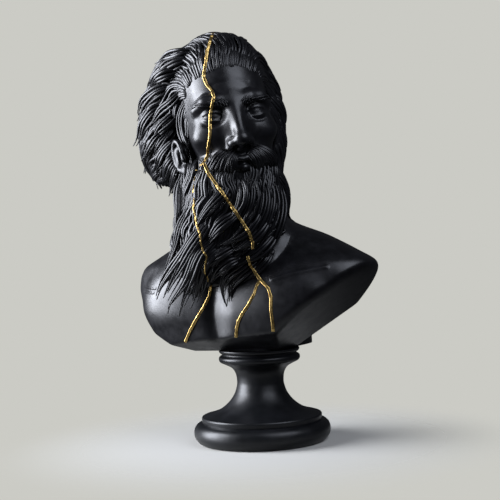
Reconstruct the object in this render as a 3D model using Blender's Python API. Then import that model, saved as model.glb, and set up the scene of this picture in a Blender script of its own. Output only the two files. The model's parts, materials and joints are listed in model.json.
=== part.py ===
"""Bust of a bearded sea god, cast in black resin, on a round turned socle.

Metres, +Z up. The origin is the centre of the socle's underside, and the side that is shown faces -Y.
The chest is turned to the figure's right and the head to its left.
"""

import math

import bmesh
import bpy
from mathutils import Matrix, Vector, noise
from mathutils.bvhtree import BVHTree

# Driving sizes
BUST_HEIGHT = 0.256
SOCLE_HEIGHT = 0.074
SOCLE_RADIUS = 0.055
SEAT_GAP = 0.0003

# The figure is carved in shares of its own height: a part is a 256th of it, about a millimetre
PART = BUST_HEIGHT / 256.0

# Pose
TORSO_TURN = math.radians(-30.0)
HEAD_TURN = math.radians(10.0)
HEAD_LEAN = math.radians(-6.0)
HEAD_NOD = math.radians(2.0)
HEAD_CENTRE = Vector((-18.6, -19.0, 187.0))
BEARD_CENTRE = HEAD_CENTRE + Vector((-8.0, 0.0, -85.0))

TORSO = Matrix.Rotation(TORSO_TURN, 4, "Z")
VIEW = Matrix.Translation(HEAD_CENTRE)
HEAD = (
    VIEW
    @ Matrix.Rotation(HEAD_TURN, 4, "Z")
    @ Matrix.Rotation(HEAD_LEAN, 4, "Y")
    @ Matrix.Rotation(HEAD_NOD, 4, "X")
)

# Surface of the cast
SKIN_VOXEL = 1.6
SKIN_SMOOTHING = 3
BUST_TRIANGLES = 7600
SOCLE_SEGMENTS = 48

# Bearings of the trunk: height, half width, front depth, back depth
TRUNK_RINGS = (
    (-4.0, 104.0, 46.0, 50.0),
    (30.0, 106.0, 49.0, 52.0),
    (50.0, 107.0, 48.0, 50.0),
    (61.0, 106.0, 45.0, 48.0),
    (69.0, 102.0, 41.0, 45.0),
    (75.0, 90.0, 36.0, 42.0),
    (80.0, 81.0, 33.0, 40.0),
    (85.0, 71.0, 31.0, 38.0),
    (90.0, 61.0, 29.0, 36.0),
    (94.0, 50.0, 28.0, 34.0),
    (98.0, 38.0, 27.0, 31.0),
    (102.0, 30.0, 24.0, 27.0),
    (107.0, 20.0, 17.0, 18.0),
)

# Flat cuts under the trunk: right arm, its rounded end, left arm, back and front of the underside
TRUNK_CUTS = (
    ((-60.0, 0.0, 7.0), (-0.5, 0.0, -1.0)),
    ((-83.0, 0.0, 25.0), (-1.4, 0.0, -1.0)),
    ((58.0, 10.0, 24.0), (0.84, -0.1, -1.0)),
    ((0.0, 8.0, 0.0), (0.0, 1.0, -0.92)),
    ((0.0, -45.0, 11.5), (0.075, -0.45, -1.0)),
)

# Pillar under the back that the socle's pin goes into: height, half width, middle and half depth
PILLAR_RINGS = (
    (-3.0, 26.0, 18.0, 40.0),
    (11.0, 26.0, 18.0, 40.0),
    (54.0, 21.0, 10.0, 32.0),
)
PILLAR_ROUNDNESS = 0.4

# Rounded forms: frame, centre, radii
CHEST_FORMS = (
    (TORSO, (32.0, -33.0, 38.0), (42.0, 17.0, 27.0)),
    (TORSO, (-46.0, -31.0, 38.0), (38.0, 17.0, 27.0)),
)
HEAD_FORMS = (
    (HEAD, (0.0, 8.0, 18.0), (37.0, 50.0, 44.0)),
    (HEAD, (0.0, -14.0, -12.0), (33.0, 35.0, 46.0)),
    (HEAD, (0.0, -22.0, -40.0), (26.0, 24.0, 22.0)),
    (VIEW, (8.0, 6.0, -72.0), (38.0, 33.0, 44.0)),
    (HEAD, (17.0, -29.0, -10.0), (16.0, 12.0, 11.0)),
    (HEAD, (-17.0, -29.0, -10.0), (16.0, 12.0, 11.0)),
    (HEAD, (15.0, -39.0, 12.0), (15.0, 8.0, 5.0)),
    (HEAD, (-15.0, -39.0, 12.0), (15.0, 8.0, 5.0)),
    (HEAD, (0.0, -47.0, -5.0), (4.5, 8.5, 18.0)),
    (HEAD, (0.0, -55.0, -17.0), (5.0, 6.5, 6.0)),
    (HEAD, (7.0, -50.0, -19.0), (4.5, 6.0, 4.5)),
    (HEAD, (-7.0, -50.0, -19.0), (4.5, 6.0, 4.5)),
    (HEAD, (0.0, -47.0, -32.0), (15.0, 6.0, 3.6)),
    (HEAD, (0.0, -46.0, -39.0), (11.0, 6.0, 3.6)),
)
EYE_FORMS = (
    (HEAD, (16.0, -35.5, 2.0), (8.6, 6.6, 5.4)),
    (HEAD, (-16.0, -35.5, 2.0), (8.6, 6.6, 5.4)),
)
HAIR_FORMS = (
    (VIEW, (-2.0, 13.0, 19.0), (41.0, 49.0, 46.0)),
    (VIEW, (-39.0, 16.0, -8.0), (31.0, 32.0, 46.0)),
    (VIEW, (-40.0, 18.0, -30.0), (23.0, 26.0, 25.0)),
    (VIEW, (26.0, 14.0, -14.0), (22.0, 30.0, 47.0)),
    (VIEW, (0.0, 36.0, 0.0), (42.0, 28.0, 58.0)),
    (VIEW, (1.0, 26.0, -60.0), (43.0, 32.0, 40.0)),
)
BEARD_FORMS = (
    (VIEW, (6.0, -24.0, -46.0), (34.0, 25.0, 26.0)),
    (VIEW, (-28.0, -8.0, -46.0), (14.0, 20.0, 22.0)),
    (VIEW, (4.0, -30.0, -72.0), (36.0, 19.0, 34.0)),
    (VIEW, (-6.0, -32.0, -98.0), (34.0, 16.0, 30.0)),
    (VIEW, (16.0, -22.0, -92.0), (26.0, 20.0, 34.0)),
    (VIEW, (-27.0, -14.0, -88.0), (14.0, 16.0, 44.0)),
    (VIEW, (-43.0, -5.0, -127.0), (16.0, 11.0, 28.0)),
)

# Hollows pressed toward the back of a form: frame, centre, radii, depth
EYE_HOLLOWS = (
    (HEAD, (16.0, -42.0, 3.0), (13.0, 16.0, 8.5), 7.0),
    (HEAD, (-16.0, -42.0, 3.0), (13.0, 16.0, 8.5), 7.0),
)
CHEST_HOLLOWS = (
    (TORSO, (-9.0, -52.0, 32.0), (11.0, 22.0, 46.0), 4.5),
    (TORSO, (56.0, -36.0, 74.0), (40.0, 20.0, 9.0), 4.0),
)

# Outline of the socle from the table up, in shares of its radius and height
SOCLE_OUTLINE = (
    (0.891, 0.0),
    (0.936, 0.020),
    (0.991, 0.081),
    (1.0, 0.128),
    (0.982, 0.176),
    (0.940, 0.207),
    (0.873, 0.223),
    (0.876, 0.277),
    (0.862, 0.289),
    (0.750, 0.309),
    (0.610, 0.350),
    (0.480, 0.425),
    (0.391, 0.514),
    (0.350, 0.600),
    (0.342, 0.660),
    (0.358, 0.740),
    (0.415, 0.805),
    (0.530, 0.851),
    (0.575, 0.878),
    (0.593, 0.905),
    (0.580, 0.935),
    (0.548, 0.950),
    (0.560, 0.965),
    (0.590, 1.0),
)

# Locks of hair and beard: how many, then half width, half thickness and length
HAIR_LOCKS = 230
HAIR_LOCK = (4.6, 3.0, 44.0)
BEARD_LOCKS = 150
BEARD_LOCK = (3.8, 3.0, 46.0)

# Free pointed locks that break the outline: root and tip from the head's centre, half width
TIP_LOCKS = (
    ((-38.0, 8.0, 32.0), (-58.0, 10.0, 46.0), 7.5),
    ((-50.0, 10.0, 4.0), (-73.0, 12.0, -13.0), 6.0),
    ((-48.0, 14.0, -8.0), (-73.0, 14.0, -23.0), 6.0),
    ((-46.0, 10.0, -32.0), (-54.0, 12.0, -57.0), 6.0),
    ((-36.0, 8.0, -40.0), (-42.0, 10.0, -68.0), 6.0),
    ((-28.0, -16.0, -64.0), (-48.0, -12.0, -93.0), 5.0),
    ((-42.0, -12.0, -104.0), (-61.0, 0.0, -144.0), 5.0),
    ((-38.0, -14.0, -116.0), (-54.0, -6.0, -157.0), 5.0),
    ((-32.0, -20.0, -118.0), (-44.0, -14.0, -156.0), 5.0),
    ((4.0, -40.0, -106.0), (-7.0, -34.0, -146.0), 6.0),
    ((30.0, -34.0, -80.0), (24.0, -34.0, -124.0), 6.0),
)
LOCK_STEPS = 11
LOCK_SIDES = 8
LOCK_WAVE = 0.45
FREE_TIP = 0.7


def clear_scene():
    """Removes what the scene opened with."""
    for obj in list(bpy.data.objects):
        bpy.data.objects.remove(obj, do_unlink=True)


def make_material(name, colour, roughness):
    """A plain resin finish."""
    material = bpy.data.materials.new(name)
    material.use_nodes = True
    shader = material.node_tree.nodes["Principled BSDF"]
    shader.inputs["Base Color"].default_value = (*colour, 1.0)
    shader.inputs["Roughness"].default_value = roughness
    shader.inputs["Metallic"].default_value = 0.0
    return material


def new_object(name, bm, material=None):
    """The bmesh as a named object in the scene."""
    mesh = bpy.data.meshes.new(name)
    bm.to_mesh(mesh)
    bm.free()
    obj = bpy.data.objects.new(name, mesh)
    bpy.context.scene.collection.objects.link(obj)
    if material:
        mesh.materials.append(material)
    return obj


def smoothstep(low, high, value):
    share = min(1.0, max(0.0, (value - low) / (high - low)))
    return share * share * (3.0 - 2.0 * share)


def add_ellipsoid(bm, frame, centre, radii):
    matrix = frame @ Matrix.Translation(centre) @ Matrix.Diagonal((*radii, 1.0))
    bmesh.ops.create_uvsphere(bm, u_segments=32, v_segments=20, radius=1.0, matrix=matrix)


def add_rings(bm, rings):
    """A closed skin over rings of points, with a flat cap at each end."""
    loops = [[bm.verts.new(point) for point in ring] for ring in rings]
    for lower, upper in zip(loops, loops[1:]):
        count = len(lower)
        for i in range(count):
            j = (i + 1) % count
            bm.faces.new((lower[i], lower[j], upper[j], upper[i]))
    bm.faces.new(list(reversed(loops[0])))
    bm.faces.new(loops[-1])


def oval_ring(height, half_width, front, back, points=48, roundness=0.86):
    """A level ring, squarer than an ellipse, with its own front and back depth."""
    ring = []
    for i in range(points):
        angle = 2.0 * math.pi * i / points
        c, s = math.cos(angle), math.sin(angle)
        x = half_width * math.copysign(abs(c) ** roundness, c)
        y = (back if s > 0.0 else front) * math.copysign(abs(s) ** roundness, s)
        ring.append((x, y, height))
    return ring


def cut_flat(bm, point, normal):
    """Cuts away what lies beyond a plane and closes the cut with one flat face."""
    geometry = bm.verts[:] + bm.edges[:] + bm.faces[:]
    cut = bmesh.ops.bisect_plane(
        bm, geom=geometry, plane_co=point, plane_no=normal, clear_outer=True
    )
    edges = [e for e in cut["geom_cut"] if isinstance(e, bmesh.types.BMEdge)]
    bmesh.ops.contextual_create(bm, geom=edges)


def mass_mesh(forms):
    """Overlapping closed ellipsoids in one bmesh."""
    bm = bmesh.new()
    for frame, centre, radii in forms:
        add_ellipsoid(bm, frame, centre, radii)
    return bm


def press(bm, hollows):
    """Presses soft hollows into the form."""
    for frame, centre, radii, depth in hollows:
        inward = (frame.to_3x3() @ Vector((0.0, 1.0, 0.0))).normalized()
        back = frame.inverted()
        for vert in bm.verts:
            local = back @ vert.co - Vector(centre)
            away = Vector(local[i] / radii[i] for i in range(3)).length
            if away < 1.0:
                vert.co += inward * depth * (1.0 - away * away) ** 2


def make_trunk():
    """Chest and shoulders, cut off flat below, with the pillar for the socle's pin."""
    bm = mass_mesh(CHEST_FORMS)
    bm.transform(TORSO.inverted())
    add_rings(bm, [oval_ring(*ring) for ring in TRUNK_RINGS])
    bm = skinned(bm, 1.8)
    for point, normal in TRUNK_CUTS:
        cut_flat(bm, point, normal)
    pillar = []
    for height, half_width, middle, half_depth in PILLAR_RINGS:
        ring = oval_ring(height, half_width, half_depth, half_depth, 32, PILLAR_ROUNDNESS)
        pillar.append([(x, y + middle, z) for x, y, z in ring])
    add_rings(bm, pillar)
    bm.transform(TORSO)
    press(bm, CHEST_HOLLOWS)
    return bm


def joined(*parts):
    """Several bmeshes as one. The ones given are freed."""
    whole = bmesh.new()
    for part in parts:
        mesh = bpy.data.meshes.new("part_helper")
        part.to_mesh(mesh)
        part.free()
        whole.from_mesh(mesh)
        bpy.data.meshes.remove(mesh)
    return whole


def skinned(bm, voxel, smoothing=4):
    """One outer skin over the overlapping forms, as a new bmesh."""
    helper = new_object("skin_helper", bm)
    remesh = helper.modifiers.new("Skin", "REMESH")
    remesh.mode = "VOXEL"
    remesh.voxel_size = voxel
    smooth = helper.modifiers.new("Soften", "SMOOTH")
    smooth.factor = 0.5
    smooth.iterations = smoothing
    graph = bpy.context.evaluated_depsgraph_get()
    result = bmesh.new()
    result.from_object(helper, graph)
    bpy.data.objects.remove(helper, do_unlink=True)
    return result


def hair_flow(p):
    """The way the hair is combed at a point, which is counted from the head's centre."""
    x, y, z = p
    left = smoothstep(0.0, -28.0, x)
    right = smoothstep(4.0, 30.0, x)
    top = max(0.0, 1.0 - left - right)
    low = smoothstep(45.0, -15.0, z)
    back = smoothstep(22.0, 50.0, y)
    sweep_left = Vector((-1.0, 0.25, -0.1)).lerp(Vector((-0.75, 0.25, -1.0)), low)
    sweep_right = Vector((0.8, 0.9, -0.2)).lerp(Vector((0.05, 0.4, -1.0)), low)
    sweep_top = Vector((-0.35, 1.0, 0.1))
    direction = left * sweep_left + right * sweep_right + top * sweep_top
    return direction.lerp(Vector((-0.15, 0.1, -1.0)), back)


def beard_flow(p):
    """The way the beard is combed at a point, blown to the figure's right as it falls."""
    x, _, z = p
    low = smoothstep(-55.0, -105.0, z)
    right = smoothstep(-20.0, 15.0, x)
    blown = -0.15 - 0.75 * low * right - 0.2 * right
    outward = -0.35 * smoothstep(-95.0, -130.0, z) * (1.0 - right)
    return Vector((blown + outward, 0.0, -1.0))


def trace_lock(tree, root, flow, length, phase):
    """The line that a lock follows over the mass, with the outward direction at each point."""
    step = length / LOCK_STEPS
    point, normal = tree.find_nearest(root)[:2]
    line = [(point - normal * 1.5, normal)]
    for i in range(1, LOCK_STEPS + 1):
        share = i / LOCK_STEPS
        direction = flow(point - HEAD_CENTRE)
        direction -= normal * direction.dot(normal)
        direction.normalize()
        sideways = normal.cross(direction)
        direction += sideways * LOCK_WAVE * math.sin(phase + 7.0 * share)
        moved = point + direction.normalized() * step
        on_skin, skin_normal = tree.find_nearest(moved)[:2]
        lift = 0.4 + 1.6 * share
        hold = 1.0 - smoothstep(FREE_TIP, 1.0, share) * 0.8
        point = moved.lerp(on_skin + skin_normal * lift, hold)
        normal = (normal + skin_normal).normalized()
        line.append((point, normal))
    return line


def add_lock(bm, line, half_width, half_thickness):
    """A tapered lock of hair along the line, wide and flat, ending in a point."""
    rings = []
    for i, (point, normal) in enumerate(line):
        before = line[max(i - 1, 0)][0]
        after = line[min(i + 1, len(line) - 1)][0]
        along = (after - before).normalized()
        across = along.cross(normal).normalized()
        out = across.cross(along)
        share = i / (len(line) - 1)
        girth = (0.55 + 0.45 * math.sin(math.pi * min(1.0, share * 1.6))) * (1.0 - share**3.0) + 0.06
        ring = []
        for side in range(LOCK_SIDES):
            angle = 2.0 * math.pi * side / LOCK_SIDES
            across_part = across * math.cos(angle) * half_width * girth
            out_part = out * math.sin(angle) * half_thickness * girth
            ring.append(point + across_part + out_part)
        rings.append(ring)
    add_rings(bm, rings)


def add_tip_lock(bm, root, tip, half_width):
    """A free lock that leaves the mass along a soft double bend."""
    root, tip = HEAD_CENTRE + Vector(root), HEAD_CENTRE + Vector(tip)
    along = (tip - root).normalized()
    outward = (root - HEAD_CENTRE + Vector((0.0, -30.0, 90.0))).normalized()
    sideways = along.cross(outward).normalized()
    line = []
    for i in range(LOCK_STEPS + 1):
        share = i / LOCK_STEPS
        bend = sideways * 3.0 * math.sin(2.0 * math.pi * share)
        line.append((root.lerp(tip, share) + bend, outward))
    add_lock(bm, line, half_width, half_width * 0.7)


def spread_directions(count):
    """Directions spread evenly over a sphere."""
    golden = math.pi * (3.0 - math.sqrt(5.0))
    for i in range(count):
        z = 1.0 - 2.0 * (i + 0.5) / count
        r = math.sqrt(1.0 - z * z)
        yield Vector((r * math.cos(golden * i), r * math.sin(golden * i), z))


def is_face(p):
    """Whether a point, counted from the head's centre, is on the bare face."""
    local = HEAD.inverted() @ (HEAD_CENTRE + p)
    x, y, z = local
    in_front = y < -12.0 - 0.42 * z
    return in_front and -22.0 - 0.35 * abs(x) < z < 47.0


def add_locks(bm, tree, count, centre, size, flow, allowed):
    half_width, half_thickness, length = size
    for direction in spread_directions(count):
        start = centre + direction * 150.0
        hit, normal, _, _ = tree.ray_cast(start, -direction)
        if hit is None or not allowed(hit - HEAD_CENTRE, normal):
            continue
        phase = 0.07 * (hit.x + hit.z) + 1.5 * noise.noise(hit * 0.05)
        line = trace_lock(tree, hit, flow, length, phase)
        add_lock(bm, line, half_width, half_thickness)


def hair_allowed(p, _normal):
    return not is_face(p) and p.z > -70.0 + 0.4 * max(0.0, -p.y)


def beard_allowed(p, normal):
    return normal.y < 0.35 and p.z < -26.0 and not is_face(p)


def keep_largest(bm):
    """Keeps only the biggest piece of a mesh."""
    left = set(bm.verts)
    pieces = []
    while left:
        stack = [left.pop()]
        piece = set(stack)
        while stack:
            for edge in stack.pop().link_edges:
                for vert in edge.verts:
                    if vert in left:
                        left.discard(vert)
                        piece.add(vert)
                        stack.append(vert)
        pieces.append(piece)
    pieces.sort(key=len)
    small = [vert for piece in pieces[:-1] for vert in piece]
    bmesh.ops.delete(bm, geom=small, context="VERTS")


def thinned(bm, triangles):
    """The mesh with about that many triangles."""
    bmesh.ops.triangulate(bm, faces=bm.faces)
    ratio = triangles / len(bm.faces)
    helper = new_object("thin_helper", bm)
    thin = helper.modifiers.new("Thin", "DECIMATE")
    thin.ratio = ratio
    graph = bpy.context.evaluated_depsgraph_get()
    result = bmesh.new()
    result.from_object(helper, graph)
    bpy.data.objects.remove(helper, do_unlink=True)
    return result


def make_bust(resin):
    """Head, hair, beard and trunk as one cast solid, with a flat seat for the socle."""
    head = skinned(mass_mesh(HEAD_FORMS), 1.5)
    press(head, EYE_HOLLOWS)
    hair_tree = BVHTree.FromBMesh(skinned(mass_mesh(HEAD_FORMS[:2] + HAIR_FORMS), 2.0))
    beard_tree = BVHTree.FromBMesh(skinned(mass_mesh(HEAD_FORMS[:3] + BEARD_FORMS), 2.0))

    bm = joined(make_trunk(), head, mass_mesh(EYE_FORMS + HAIR_FORMS + BEARD_FORMS))
    add_locks(bm, hair_tree, HAIR_LOCKS, HEAD_CENTRE, HAIR_LOCK, hair_flow, hair_allowed)
    add_locks(bm, beard_tree, BEARD_LOCKS, BEARD_CENTRE, BEARD_LOCK, beard_flow, beard_allowed)
    for root, tip, half_width in TIP_LOCKS:
        add_tip_lock(bm, root, tip, half_width)

    bm = skinned(bm, SKIN_VOXEL, SKIN_SMOOTHING)
    keep_largest(bm)
    bm = thinned(bm, BUST_TRIANGLES)
    cut_flat(bm, (0.0, 0.0, 0.0), (0.0, 0.0, -1.0))
    bmesh.ops.triangulate(bm, faces=bm.faces)
    bmesh.ops.scale(bm, vec=(PART, PART, PART), verts=bm.verts)
    bust = new_object("bust", bm, resin)
    bust.data.shade_smooth()
    bust.data.set_sharp_from_angle(angle=math.radians(50.0))
    bust.location.z = SOCLE_HEIGHT + SEAT_GAP
    return bust


def make_socle(resin):
    """The turned foot, spun from its outline, which runs from the top down its outer side."""
    outline = [(0.0, 1.0)] + list(reversed(SOCLE_OUTLINE)) + [(0.0, 0.0)]
    bm = bmesh.new()
    points = [bm.verts.new((r * SOCLE_RADIUS, 0.0, z * SOCLE_HEIGHT)) for r, z in outline]
    for upper, lower in zip(points, points[1:]):
        bm.edges.new((upper, lower))
    socle = new_object("socle", bm, resin)
    spin = socle.modifiers.new("Spin", "SCREW")
    spin.axis = "Z"
    spin.angle = 2.0 * math.pi
    spin.steps = SOCLE_SEGMENTS
    spin.render_steps = SOCLE_SEGMENTS
    spin.use_smooth_shade = True
    spin.use_merge_vertices = True
    spin.merge_threshold = 0.00001
    return socle


def main():
    clear_scene()
    resin = make_material("black_resin", (0.012, 0.012, 0.014), 0.34)
    socle_resin = make_material("black_lacquer", (0.010, 0.010, 0.011), 0.3)
    make_bust(resin)
    make_socle(socle_resin)


main()
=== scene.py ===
"""Looks of the sea god's bust: the carved cast, its gold crack lines, the turned socle, light and camera."""

import json
import math

import bmesh
import bpy
import numpy as np
import openvdb
from mathutils import Euler, Matrix, Vector
from mathutils.bvhtree import BVHTree

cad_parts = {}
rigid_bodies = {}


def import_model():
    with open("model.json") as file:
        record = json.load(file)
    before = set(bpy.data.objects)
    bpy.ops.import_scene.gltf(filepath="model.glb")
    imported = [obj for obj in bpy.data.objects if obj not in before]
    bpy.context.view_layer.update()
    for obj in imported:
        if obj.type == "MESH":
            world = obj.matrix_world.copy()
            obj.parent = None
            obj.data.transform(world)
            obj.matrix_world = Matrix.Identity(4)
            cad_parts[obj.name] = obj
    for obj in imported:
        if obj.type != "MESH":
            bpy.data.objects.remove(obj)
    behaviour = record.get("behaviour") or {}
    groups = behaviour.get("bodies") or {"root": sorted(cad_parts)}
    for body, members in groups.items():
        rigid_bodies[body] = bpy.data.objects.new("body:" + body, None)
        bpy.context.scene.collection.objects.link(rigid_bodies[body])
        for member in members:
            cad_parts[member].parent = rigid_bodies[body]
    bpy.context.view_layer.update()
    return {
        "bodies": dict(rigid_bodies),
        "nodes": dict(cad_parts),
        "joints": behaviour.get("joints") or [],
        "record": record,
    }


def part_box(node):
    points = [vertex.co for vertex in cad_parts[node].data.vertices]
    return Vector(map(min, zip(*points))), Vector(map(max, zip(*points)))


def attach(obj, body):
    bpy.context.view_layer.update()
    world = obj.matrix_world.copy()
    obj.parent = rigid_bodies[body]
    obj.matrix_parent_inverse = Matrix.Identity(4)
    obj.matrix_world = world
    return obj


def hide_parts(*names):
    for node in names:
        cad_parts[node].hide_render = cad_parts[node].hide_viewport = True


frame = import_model()

# Camera, in metres: the photograph's eye stands in front, at about half the height of the bust
CAMERA_PLACE = (-0.0038, -0.853, 0.1536)
CAMERA_ROLL = math.radians(2.5)
CAMERA_TILT = Euler((math.pi / 2.0, CAMERA_ROLL, 0.0))
SENSOR_WIDTH = 36.0
FOCAL_LENGTH = 76.1

# Soft lights: place, what each is turned to, its size in metres, watts and colour
LIGHTS = (
    ("window", (-1.15, 0.04, 0.45), (0.0, 0.0, 0.2), (0.8, 1.0), 74.0, "#f1f5ff"),
    ("ceiling", (0.65, -0.75, 1.0), (0.0, 0.0, 0.15), (1.0, 1.0), 17.0, "#eaf0ff"),
)

# The floor, and how far from the object it starts and ends to thin out, in metres
FLOOR_RADIUS = 0.7
FLOOR_FADE = (0.06, 0.22)

# The figure is carved in parts of a millimetre, from its seat on the socle up, as its solid is
PART = 0.001
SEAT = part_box("bust")[0].z
EYE = Vector(CAMERA_PLACE) / PART - Vector((0.0, 0.0, SEAT / PART))

# How the chest is turned, and how the head is turned, leant and nodded, and where it is
TORSO_TURN = math.radians(-30.0)
HEAD_TURN = math.radians(10.0)
HEAD_LEAN = math.radians(-6.0)
HEAD_NOD = math.radians(2.0)
HEAD_CENTRE = Vector((-18.6, -19.0, 187.0))
HEAD_MIDDLE = np.array(HEAD_CENTRE)

# The bare face: hairline over the middle of the forehead, half width, how far back and how low it
# reaches, all from the head's centre, and how deep the hairline's fine short locks stand
HAIRLINE = 25.0
FACE_HALF_WIDTH = 32.0
FACE_BACK = -17.0
FACE_LOW = -35.0
HAIRLINE_DEPTH = 4.0

TORSO = Matrix.Rotation(TORSO_TURN, 4, "Z")
VIEW = Matrix.Translation(HEAD_CENTRE)
HEAD = (
    VIEW
    @ Matrix.Rotation(HEAD_TURN, 4, "Z")
    @ Matrix.Rotation(HEAD_LEAN, 4, "Y")
    @ Matrix.Rotation(HEAD_NOD, 4, "X")
)
FACE = HEAD @ Matrix.Translation((0.0, 0.0, -6.0))
SIDES = (-1.0, 1.0)

# The blocks of space the stages are carved in, and how finely
TRUNK_BLOCK = ((-112.0, -76.0, -5.0), (116.0, 74.0, 150.0))
HEAD_BLOCK = ((-70.0, -92.0, 116.0), (32.0, 44.0, 250.0))
MASS_BLOCK = ((-98.0, -95.0, 2.0), (58.0, 72.0, 262.0))
TRUNK_VOXEL = 1.0
HEAD_VOXEL = 0.65
MASS_VOXEL = 1.3
CAST_VOXEL = 0.6
CAST_TRIANGLES = 170000

# How far from a surface its distances are kept, what reaches through a whole block, what open space
# holds, and what a missed ray gives
FAR = 3.0
EVERYWHERE = 260.0
OPEN_SPACE = 20.0
NO_HIT = 1e4

# How sharp an edge has to be to stay sharp
CAST_EDGE = math.radians(60.0)
SOCLE_EDGE = math.radians(38.0)

# Where each run of random numbers starts
SEEDS = {
    "hair_roots": 7, "beard_roots": 9, "hairline_roots": 12, "hair": 20, "beard": 30, "hairline": 40,
    "wander": 3, "sway": 5, "grooves": 11, "girth": 17,
}

# Trunk: height, half width, front depth and back depth of its bearings
TRUNK_RINGS = (
    (-4.0, 104.0, 46.0, 50.0),
    (30.0, 106.0, 49.0, 52.0),
    (50.0, 107.0, 48.0, 50.0),
    (61.0, 106.0, 45.0, 48.0),
    (69.0, 102.0, 41.0, 45.0),
    (75.0, 90.0, 36.0, 42.0),
    (80.0, 81.0, 33.0, 40.0),
    (85.0, 71.0, 31.0, 38.0),
    (90.0, 61.0, 29.0, 36.0),
    (94.0, 50.0, 28.0, 34.0),
    (98.0, 38.0, 27.0, 31.0),
    (102.0, 30.0, 24.0, 27.0),
    (107.0, 20.0, 17.0, 18.0),
)
TRUNK_SQUARENESS = 2.33

# Flat cuts under the chest and at the arms: a point on each, the way it faces and how soft its edge is
TRUNK_CUTS = (
    ((-60.0, 0.0, 7.0), (-0.5, 0.0, -1.0), 1.6),
    ((-83.0, 0.0, 25.0), (-1.4, 0.0, -1.0), 1.6),
    ((58.0, 10.0, 24.0), (0.84, -0.1, -1.0), 6.0),
    ((0.0, 8.0, 0.0), (0.0, 1.0, -0.92), 1.6),
    ((0.0, -45.0, 11.5), (0.075, -0.45, -1.0), 1.6),
)

# The pillar at the back, in rings as the trunk's
PILLAR_RINGS = (
    (-3.0, 26.0, 22.0, 58.0),
    (11.0, 26.0, 22.0, 58.0),
    (54.0, 21.0, 22.0, 42.0),
)
PILLAR_SQUARENESS = 5.0

# Swellings of the chest and the neck: middle and radii. The hollow of the breastbone also has a depth
CHEST_FORMS = (
    ((32.0, -33.0, 38.0), (42.0, 17.0, 27.0)),
    ((-46.0, -31.0, 38.0), (38.0, 17.0, 27.0)),
)
CHEST_HOLLOW = ((-9.0, -50.0, 32.0), (15.0, 24.0, 50.0), 3.4)
NECK = ((8.0, 6.0, -72.0), (38.0, 33.0, 44.0))

# Fillets where forms meet, and how often the trunk is softened before it is cut
CHEST_BLEND = 12.0
NECK_BLEND = 8.0
PILLAR_BLEND = 3.0
HAIR_BLEND = 12.0
BEARD_BLEND = 9.0
TRUNK_SOFTENING = 10

# Masses under the hair and the beard, from the head's centre: middle, radii
HAIR_FORMS = (
    ((-5.0, 13.0, 18.0), (40.0, 49.0, 46.5)),
    ((-36.0, 14.0, 28.0), (21.5, 26.0, 23.5)),
    ((-42.0, 25.0, -8.0), (28.5, 30.0, 44.0)),
    ((-41.0, 25.0, -27.0), (23.0, 26.0, 24.0)),
    ((24.0, 14.0, -13.0), (23.5, 30.0, 52.0)),
    ((0.0, 36.0, 0.0), (42.0, 28.0, 58.0)),
    ((-1.0, 26.0, -60.0), (39.0, 32.0, 40.0)),
)
BEARD_FORMS = (
    ((6.0, -24.0, -48.0), (33.0, 25.0, 26.0)),
    ((-26.0, -8.0, -48.0), (13.0, 19.0, 22.0)),
    ((4.0, -30.0, -72.0), (34.0, 18.0, 32.0)),
    ((-6.0, -31.0, -94.0), (31.0, 13.0, 28.0)),
    ((13.0, -24.0, -88.0), (25.0, 17.0, 28.0)),
    ((-24.0, -14.0, -86.0), (14.0, 15.0, 40.0)),
    ((-27.0, -16.0, -100.0), (17.0, 9.0, 25.0)),
)

# Where the beard is rooted over the chest, as an outline across and up from the head's centre
BEARD_ROOTS = (
    (-34.0, -60.0), (-34.0, -92.0), (-31.0, -103.0), (-22.0, -104.0),
    (-4.0, -101.0), (14.0, -95.0), (28.0, -84.0), (32.0, -60.0),
)

# Two layers of locks: how far they stand off, how much wider apart than the spacing they are rooted,
# and how far outside the face's edge
LOCK_LAYERS = (((0.2, 1.6), 1.0, -5.0), ((1.6, 4.2), 1.35, -8.0))

# Combed locks: how far apart they are rooted, then half width, half thickness, length, strands in each
HAIR_SPACING = 9.5
HAIR_LOCK = (6.2, 3.6, 64.0, 4)
BEARD_SPACING = 8.5
BEARD_LOCK = (5.2, 3.6, 60.0, 4)
HAIRLINE_SPACING = 4.2
HAIRLINE_LOCK = (4.2, 1.8, 40.0, 4)
HAIRLINE_LIFT = (0.3, 1.4)

# Locks with courses of their own: half thickness, strands in each, where their random numbers start
DRAWN_LOCK = (3.2, 4, 4)
MOUSTACHE_LOCK = (2.6, 5, 5)
CHIN_LOCK = (2.4, 5, 6)
MOUSTACHE_WIDTH = 3.4
CHIN_WIDTH = 3.8

# Chance in locks and strands, as shares: length, width, how much of its lock a strand runs, its girth
LENGTH_RANGE = (0.6, 1.35)
WIDTH_RANGE = (0.65, 1.3)
REACH_RANGE = (0.82, 1.0)
GIRTH_RANGE = (0.8, 1.15)

# How far locks swing to and fro, over what length, how far apart they start to swing differently, in
# how many steps they are made, how deep they are rooted, and from what share on the tip may lift
HAIR_SWAY = 1.3
BEARD_SWAY = 1.9
HAIRLINE_SWAY = 0.5
SWAY_LENGTH = 27.0
SWAY_SPREAD = 34.0
LOCK_STEPS = 12
ROOT_DEPTH = 2.4
FREE_TIP = 0.75

# A strand is round above and pointed below: the angles its ring is made at, its half width in combed
# locks, in drawn ones, on the lip and in the brows, and how far the brows' strands stand off
STRAND_RING = (0.0, 60.0, 120.0, 180.0, 270.0)
STRAND_RADIUS = 1.5
DRAWN_RADIUS = 1.45
MOUSTACHE_RADIUS = 0.95
BROW_RADIUS = 0.62
BROW_LIFT = 0.4

# Combing: how far a strand wanders from its course, and over what length
HAIR_WANDER = 0.22
BEARD_WANDER = 0.42
WANDER_LENGTH = 16.0

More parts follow.
